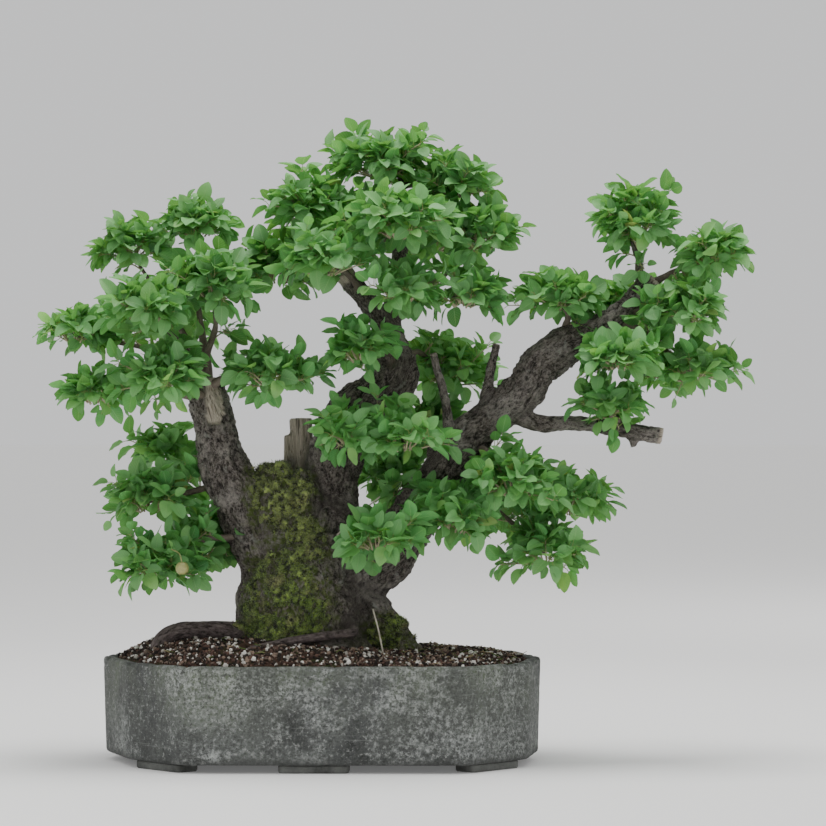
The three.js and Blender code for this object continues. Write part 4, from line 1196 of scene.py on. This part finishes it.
def build_moss(name, patches, seed, fronds):
    """A cushion of moss: the trunk's skin inside the patches lifted in lumps, its rim sunk under
    the bark, and over it a fur of small pointed fronds, each a three-sided spike."""
    mask = moss_share(TRUNK_POINTS, patches, seed)
    normals = point_normals(TRUNK_POINTS, TRUNK_QUADS)
    inside = mask[TRUNK_QUADS].max(1) > 0.06
    quads = TRUNK_QUADS[inside]
    used, quads = np.unique(quads, return_inverse=True)
    quads = quads.reshape(-1, 4)
    base, normal, share = TRUNK_POINTS[used], normals[used], mask[used]
    lumps = rough(base / 8.0, seed + 2)
    lift = -1.6 + share * (1.8 + 5.2 * lumps)
    cushion = base + normal * lift[:, None]
    moss = Gathered()
    moss.add(cushion, quads, tip=0.25 + 0.5 * lumps * share, tone=lumps)
    rng = np.random.default_rng(seed)
    grown = np.flatnonzero(share > 0.3)
    pick = rng.choice(grown, fronds, p=share[grown] / share[grown].sum())
    root = cushion[pick] + rng.normal(0, 0.8, (fronds, 3)) - normal[pick] * 0.6
    lean = unit(normal[pick] + rng.normal(0, 0.5, (fronds, 3)) + [0, 0, 0.35])
    length = rng.uniform(1.6, 4.2, fronds) * (0.7 + 0.6 * lumps[pick])
    width = rng.uniform(0.28, 0.55, fronds)
    side, other = square_to(lean, rng.normal(size=(fronds, 3)))
    foot = root[:, None] + width[:, None, None] * swung(side[:, None], other[:, None],
                                                        turns(3)[:, None])
    tip = (root + lean * length[:, None])[:, None]
    spikes = np.concatenate([foot, tip], 1)
    faces = np.array([(0, 1, 3), (1, 2, 3), (2, 0, 3), (2, 1, 0)])
    tips = np.tile([0.15, 0.15, 0.15, 1.0], fronds)
    moss.add(spikes, copies(faces, fronds, 4), tip=tips, tone=np.repeat(rng.uniform(0, 1, fronds), 4))
    moss.make(f"{name}_fur", MOSS, "moss", [name])


build_moss("moss_trunk", MOSS_PATCHES["moss_trunk"], 400, 24000)
build_moss("moss_buttress", MOSS_PATCHES["moss_buttress"], 440, 3600)

# ---------------------------------------------------------------- foliage


# Square millimetres of pad to a shoot, the leaves on a shoot and the share of it where they begin,
# the turn in radians from one leaf to the next, and leaf lengths; then sprigs along a branch.
SHOOT_AREA, SHOOT_LEAVES, FIRST_LEAF, LEAF_TURN, LEAF_LENGTHS = 102, 13, 0.2, 2.4, (15, 25)
SPRIGS, SPRIG_LEAVES, FIRST_SPRIG_LEAF = 6, 7, 0.35
BLADE_SHARES = np.array([0.0, 0.05, 0.16, 0.31, 0.47, 0.63, 0.78, 0.91, 1.0])


def leaf_blade():
    """A leaf blade of length 1 along x, as a grid of shares along and -1 to 1 across. Its half
    width goes with u^0.45 (1 - u)^0.7: a round base, widest before the middle, a short point."""
    u, v = BLADE_SHARES, np.linspace(-1, 1, 5)
    outline = 0.375 * u**0.45 * (1 - u) ** 0.7 / 0.465
    outline[0], outline[-1] = 0.02, 0.01
    grid_u, grid_v = np.meshgrid(u, v, indexing="ij")
    return grid_u.ravel(), grid_v.ravel(), (outline[:, None] * v[None]).ravel()


BLADE_U, BLADE_V, BLADE_Y = leaf_blade()
BLADE_FACES = grid_faces(len(BLADE_SHARES), 5)


def leaves(base, direction, facing, length, light, rng, out):
    """Adds leaves to a gathering: at each base, a blade along direction whose upper side faces
    facing, folded on its midrib, drooping towards its tip and waved at its edge."""
    count = len(base)
    x_axis = unit(direction)
    z_axis = unit(facing - x_axis * (facing * x_axis).sum(1, keepdims=True))
    y_axis = np.cross(z_axis, x_axis)
    fold = rng.uniform(0.12, 0.5, count)[:, None]
    droop = rng.uniform(0.0, 0.3, count)[:, None]
    sway = rng.normal(0, 0.06, count)[:, None]
    width = rng.uniform(0.86, 1.12, count)[:, None]
    wave = rng.uniform(0.01, 0.03, count)[:, None] * np.sin(
        BLADE_U[None] * rng.uniform(9, 15, count)[:, None] + rng.uniform(0, 6, count)[:, None])
    x = BLADE_U[None] * np.ones((count, 1))
    y = BLADE_Y[None] * width + sway * BLADE_U[None] ** 2
    z = fold * np.abs(BLADE_Y)[None] - droop * BLADE_U[None] ** 2 + wave * np.abs(BLADE_V)[None]
    size = length[:, None, None]
    points = base[:, None] + size * (x[..., None] * x_axis[:, None] + y[..., None] * y_axis[:, None]
                                     + z[..., None] * z_axis[:, None])
    tint = np.clip(rng.normal(light, 0.26, count), 0, 0.78)
    young = rng.uniform(0, 1, count) < 0.05
    tint = np.where(young, rng.uniform(0.85, 1.0, count), tint)
    age = np.where(rng.uniform(0, 1, count) < 0.006, 0.9, 0.0)
    each = len(BLADE_U)
    out.add(points, copies(BLADE_FACES, count, each), tint=np.repeat(tint, each),
            age=np.repeat(age, each), stalk=0, u=np.tile(BLADE_U, count),
            v=np.tile(0.5 + BLADE_V * 0.5, count))


def stalks(start, end, out, radius=0.42):
    """Adds leaf stalks: three-sided tubes of three rings from start to end, bowed upwards."""
    share = np.array([0, 0.5, 1.0])[None, :, None]
    path = start[:, None] * (1 - share) + end[:, None] * share
    path[:, 1, 2] += 0.12 * np.linalg.norm(end - start, axis=1)
    along = unit(end - start)
    side, other = square_to(along, [0.3, 0.2, 1.0])
    ring = radius * swung(side[:, None], other[:, None], turns(3)[:, None])
    points = path[:, :, None] + ring[:, None]
    faces = copies(grid_faces(3, 3, True), len(start), 9)
    out.add(points, faces, tint=0.6, age=0, stalk=1, u=0, v=0.5)


def spread(count, low=-0.45):
    """Directions spread evenly over a ball from a height up, on a spiral of golden angles."""
    k = np.arange(count) + 0.5
    z = 1 - (1 - low) * k / count
    angle = k * GOLDEN_ANGLE
    flat = np.sqrt(1 - z * z)
    return np.stack([flat * np.cos(angle), flat * np.sin(angle), z], -1)


# Rounds, as middle and half widths, in which cut stubs and bare wood stand clear of leaves.
CLEAR_OF_LEAVES = [((42, -70, 418), (34, 70, 25)), ((-24, -60, 245), (20, 90, 38)),
                   ((90, -70, 322), (20, 70, 24)), ((-122, -70, 286), (19, 60, 36)),
                   ((380, -60, 250), (26, 60, 17)), ((132, -60, 318), (9, 60, 32)),
                   ((196, -60, 330), (10, 60, 32)), ((126, -50, 425), (26, 60, 10)),
                   ((-150, -150, 106), (12, 30, 14)), ((235, -60, 315), (34, 70, 22))]


# The pads at the front of the crown, whose leaves are painted paler as painted light.
PAINTED_LIT_PADS = ["middle_left", "middle_low", "middle_front", "low_spray", "low_right_inner",
              "top_left_low"]


def in_the_open(points):
    """True for places outside every round that is kept clear of leaves."""
    return np.all([out_share(points, *clear) > 1 for clear in CLEAR_OF_LEAVES], axis=0)


def bent(start, bow, end, t):
    """Places a share t along quadratic curves from start by bow to end."""
    return start[:, None] * (1 - t) ** 2 + 2 * bow[:, None] * t * (1 - t) + end[:, None] * t**2


def leafy_shoots(hub, bow, tips, outward, per_shoot, first, light, rng, foliage, twigs):
    """Twigs as quadratic curves from hub by bow to tip, each with leaves in a spiral round it from
    a first share of its length, held out on stalks and turned to the light and outwards."""
    grown = in_the_open(tips)
    hub, bow, tips, outward = hub[grown], bow[grown], tips[grown], outward[grown]
    shoots = len(tips)
    for path in bent(hub, bow, tips, np.linspace(0, 1, 7)[None, :, None]):
        twigs.add(*tube(path, np.linspace(1.15, 0.5, 7), 5), young=0.75)
    share = np.linspace(first, 1.0, per_shoot)[None] + rng.uniform(-0.03, 0.03, (shoots, per_shoot))
    share = np.clip(share, 0, 1)[..., None]
    start = bent(hub, bow, tips, share).reshape(-1, 3)
    tangent = unit(2 * (1 - share) * (bow - hub)[:, None] + 2 * share * (tips - bow)[:, None])
    angle = (np.arange(per_shoot) * LEAF_TURN)[None] + rng.uniform(0, 6.28, (shoots, 1))
    radial = swung(*square_to(tangent, [0.1, 0.2, 1.0]), angle[..., None])
    outward = np.repeat(outward[:, None], per_shoot, 1)
    way = unit(0.85 * radial + 0.5 * tangent + 0.2 * outward + rng.normal(0, 0.24, radial.shape)
               + [0, 0, 0.14])
    facing = unit([0, 0, 0.9] + 0.6 * outward + rng.normal(0, 0.42, radial.shape))
    way, facing = way.reshape(-1, 3), facing.reshape(-1, 3)
    length = rng.uniform(*LEAF_LENGTHS, len(start))
    length *= np.where(rng.uniform(0, 1, len(start)) < 0.16, 0.6, 1)
    base = start + unit(way + [0, 0, 0.25]) * rng.uniform(5, 11, len(start))[:, None]
    free = in_the_open(base) & in_the_open(base + way * length[:, None] * 0.8)
    stalks(start[free], base[free], foliage)
    leaves(base[free], way[free] - [0, 0, 0.1], facing[free], length[free], light, rng, foliage)


def build_pad(index, name, centre, halves, branch, twigs):
    """A pad of foliage: twigs fan out from under its middle to its skin, and a few shorter ones
    grow along the branch that bears it."""
    rng = np.random.default_rng(1000 + index)
    centre, halves = np.array(centre, dtype=float), np.array(halves, dtype=float)
    area = (halves[0] * halves[1] + halves[0] * halves[2] + halves[1] * halves[2]) / 3
    shoots = int(round(area / SHOOT_AREA))
    out_way = unit(spread(shoots) + rng.normal(0, 0.18, (shoots, 3)))
    reach = rng.uniform(0.5, 0.88, shoots) + 0.34 * (rng.uniform(0, 1, shoots) < 0.18)
    tips = centre + out_way * halves * reach[:, None] * [1.08, 1.0, 0.92]
    hub = centre + [0, 0, -0.35] * halves + out_way * halves * [0.25, 0.25, 0.1]
    bow = (hub + tips) / 2 + [0, 0, 0.16] * halves + rng.normal(0, 2.5, (shoots, 3))
    # Painted light: the front pads' leaves get a paler mean tint than the rest.
    foliage, light = Gathered(), 0.64 if name in PAINTED_LIT_PADS else 0.44
    leafy_shoots(hub, bow, tips, out_way, SHOOT_LEAVES, FIRST_LEAF, light, rng, foliage, twigs)
    at = np.linspace(0.42, 0.95, SPRIGS) * (len(branch) - 1)
    foot = np.stack([np.interp(at, np.arange(len(branch)), branch[:, k]) for k in range(3)], -1)
    way = unit(rng.normal(0, 1, (SPRIGS, 3)) + [0, -0.25, 0.2])
    tips = foot + way * rng.uniform(18, 34, (SPRIGS, 1))
    bow = (foot + tips) / 2 + [0, 0, 3]
    leafy_shoots(foot, bow, tips, way, SPRIG_LEAVES, FIRST_SPRIG_LEAF, light, rng, foliage, twigs)
    foliage.make(f"leaves_{name}", LEAF, "foliage", [f"foliage_{name}"])


def build_foliage():
    """Every pad, the branch that bears it, and all the twigs as one piece."""
    twigs = Gathered()
    for index, (name, (centre, halves, part, share)) in enumerate(PADS.items()):
        path, along = CENTRELINES[part]
        start = np.array([np.interp(share * along[-1], along, path[:, k]) for k in range(4)])
        end = np.array([centre[0], centre[1], centre[2] - 0.1 * halves[2]], dtype=float)
        middle = (start[:3] + end) / 2 + [0, 0, 0.08 * np.linalg.norm(end - start[:3])]
        wander = np.random.default_rng(700 + index).normal(0, 3, (2, 3))
        stout = min(7.0, 0.55 * start[3] + 1.0)
        route = [(*start[:3], stout), (*((start[:3] + middle) / 2 + wander[0]), 3.9),
                 (*(middle + wander[1]), 3.1), (*end, 1.6)]
        bend, _ = smooth_path(route, 5.0)
        radii = bend[:, 3] * (0.85 + 0.35 * noise(bend[:, :3] / 6.0, index))
        twigs.add(*tube(bend[:, :3], radii, 10, 0.04, index), young=0)
        build_pad(index, name, centre, halves, bend, twigs)
    twigs.make("small_branches", TWIG, "bark")


build_foliage()

# ---------------------------------------------------------------- fruit and dry stalks


FRUIT_RADIUS, FRUIT_MIDDLE = 7.4, (-150.0, -136.0, 106.0)


def build_fruit():
    """A small round fruit: a ball drawn in at stalk and eye, with a short stalk."""
    material = plain_material("Fruit skin", (0.2, 0.23, 0.06), (0.42, 0.39, 0.16), 120, 0.42, 0.5)
    rows, around = 25, 32
    tilt = np.linspace(0, np.pi, rows)[:, None]
    angle = turns(around)[None]
    dimple = 1 - 0.22 * bell(tilt, 0, 0.28) - 0.3 * bell(tilt, np.pi, 0.22)
    radius = FRUIT_RADIUS * dimple * (1 + 0.02 * np.sin(5 * angle))
    ball = np.stack([radius * np.sin(tilt) * np.cos(angle), radius * np.sin(tilt) * np.sin(angle),
                     -radius * np.cos(tilt) * np.ones_like(angle)], -1)
    middle = np.array(FRUIT_MIDDLE)
    fruit = Gathered()
    fruit.add(*capped(ball[1:-1] + middle, ball[[0, -1], 0] + middle))
    path, _ = smooth_path([(*(middle + [0, 0, 5.5]), 0.7), (*(middle + [-4, 10, 16]), 0.6),
                           (*(middle + [-14, 30, 20]), 0.7)], 3.0)
    fruit.add(*tube(path[:, :3], path[:, 3], 8))
    fruit.make("small_fruit", material, "fruit_skin", ["fruit"])


build_fruit()


def build_dry_stalks():
    """Two dead straw-coloured stems, bent, with a swollen joint part way."""
    material = plain_material("Dry straw", (0.36, 0.32, 0.25), (0.7, 0.65, 0.54), 150, 0.7)
    routes = {"dry_stalk_soil": [(59, -62, 57), (66, -76, 32), (74, -90, -8)],
              "dry_stalk_fork": [(14, -30, 134), (34, -50, 156), (67, -52, 183)]}
    for name, route in routes.items():
        path, along = smooth_path([(*point, 0.9) for point in route], 1.5)
        joint = 1 + 0.5 * bell(along, along[-1] * 0.55, 1.6)
        points, *faces = tube(path[:, :3], path[:, 3] * joint, 10)
        make_piece(f"{name}_stem", points, faces, material, [name])


build_dry_stalks()
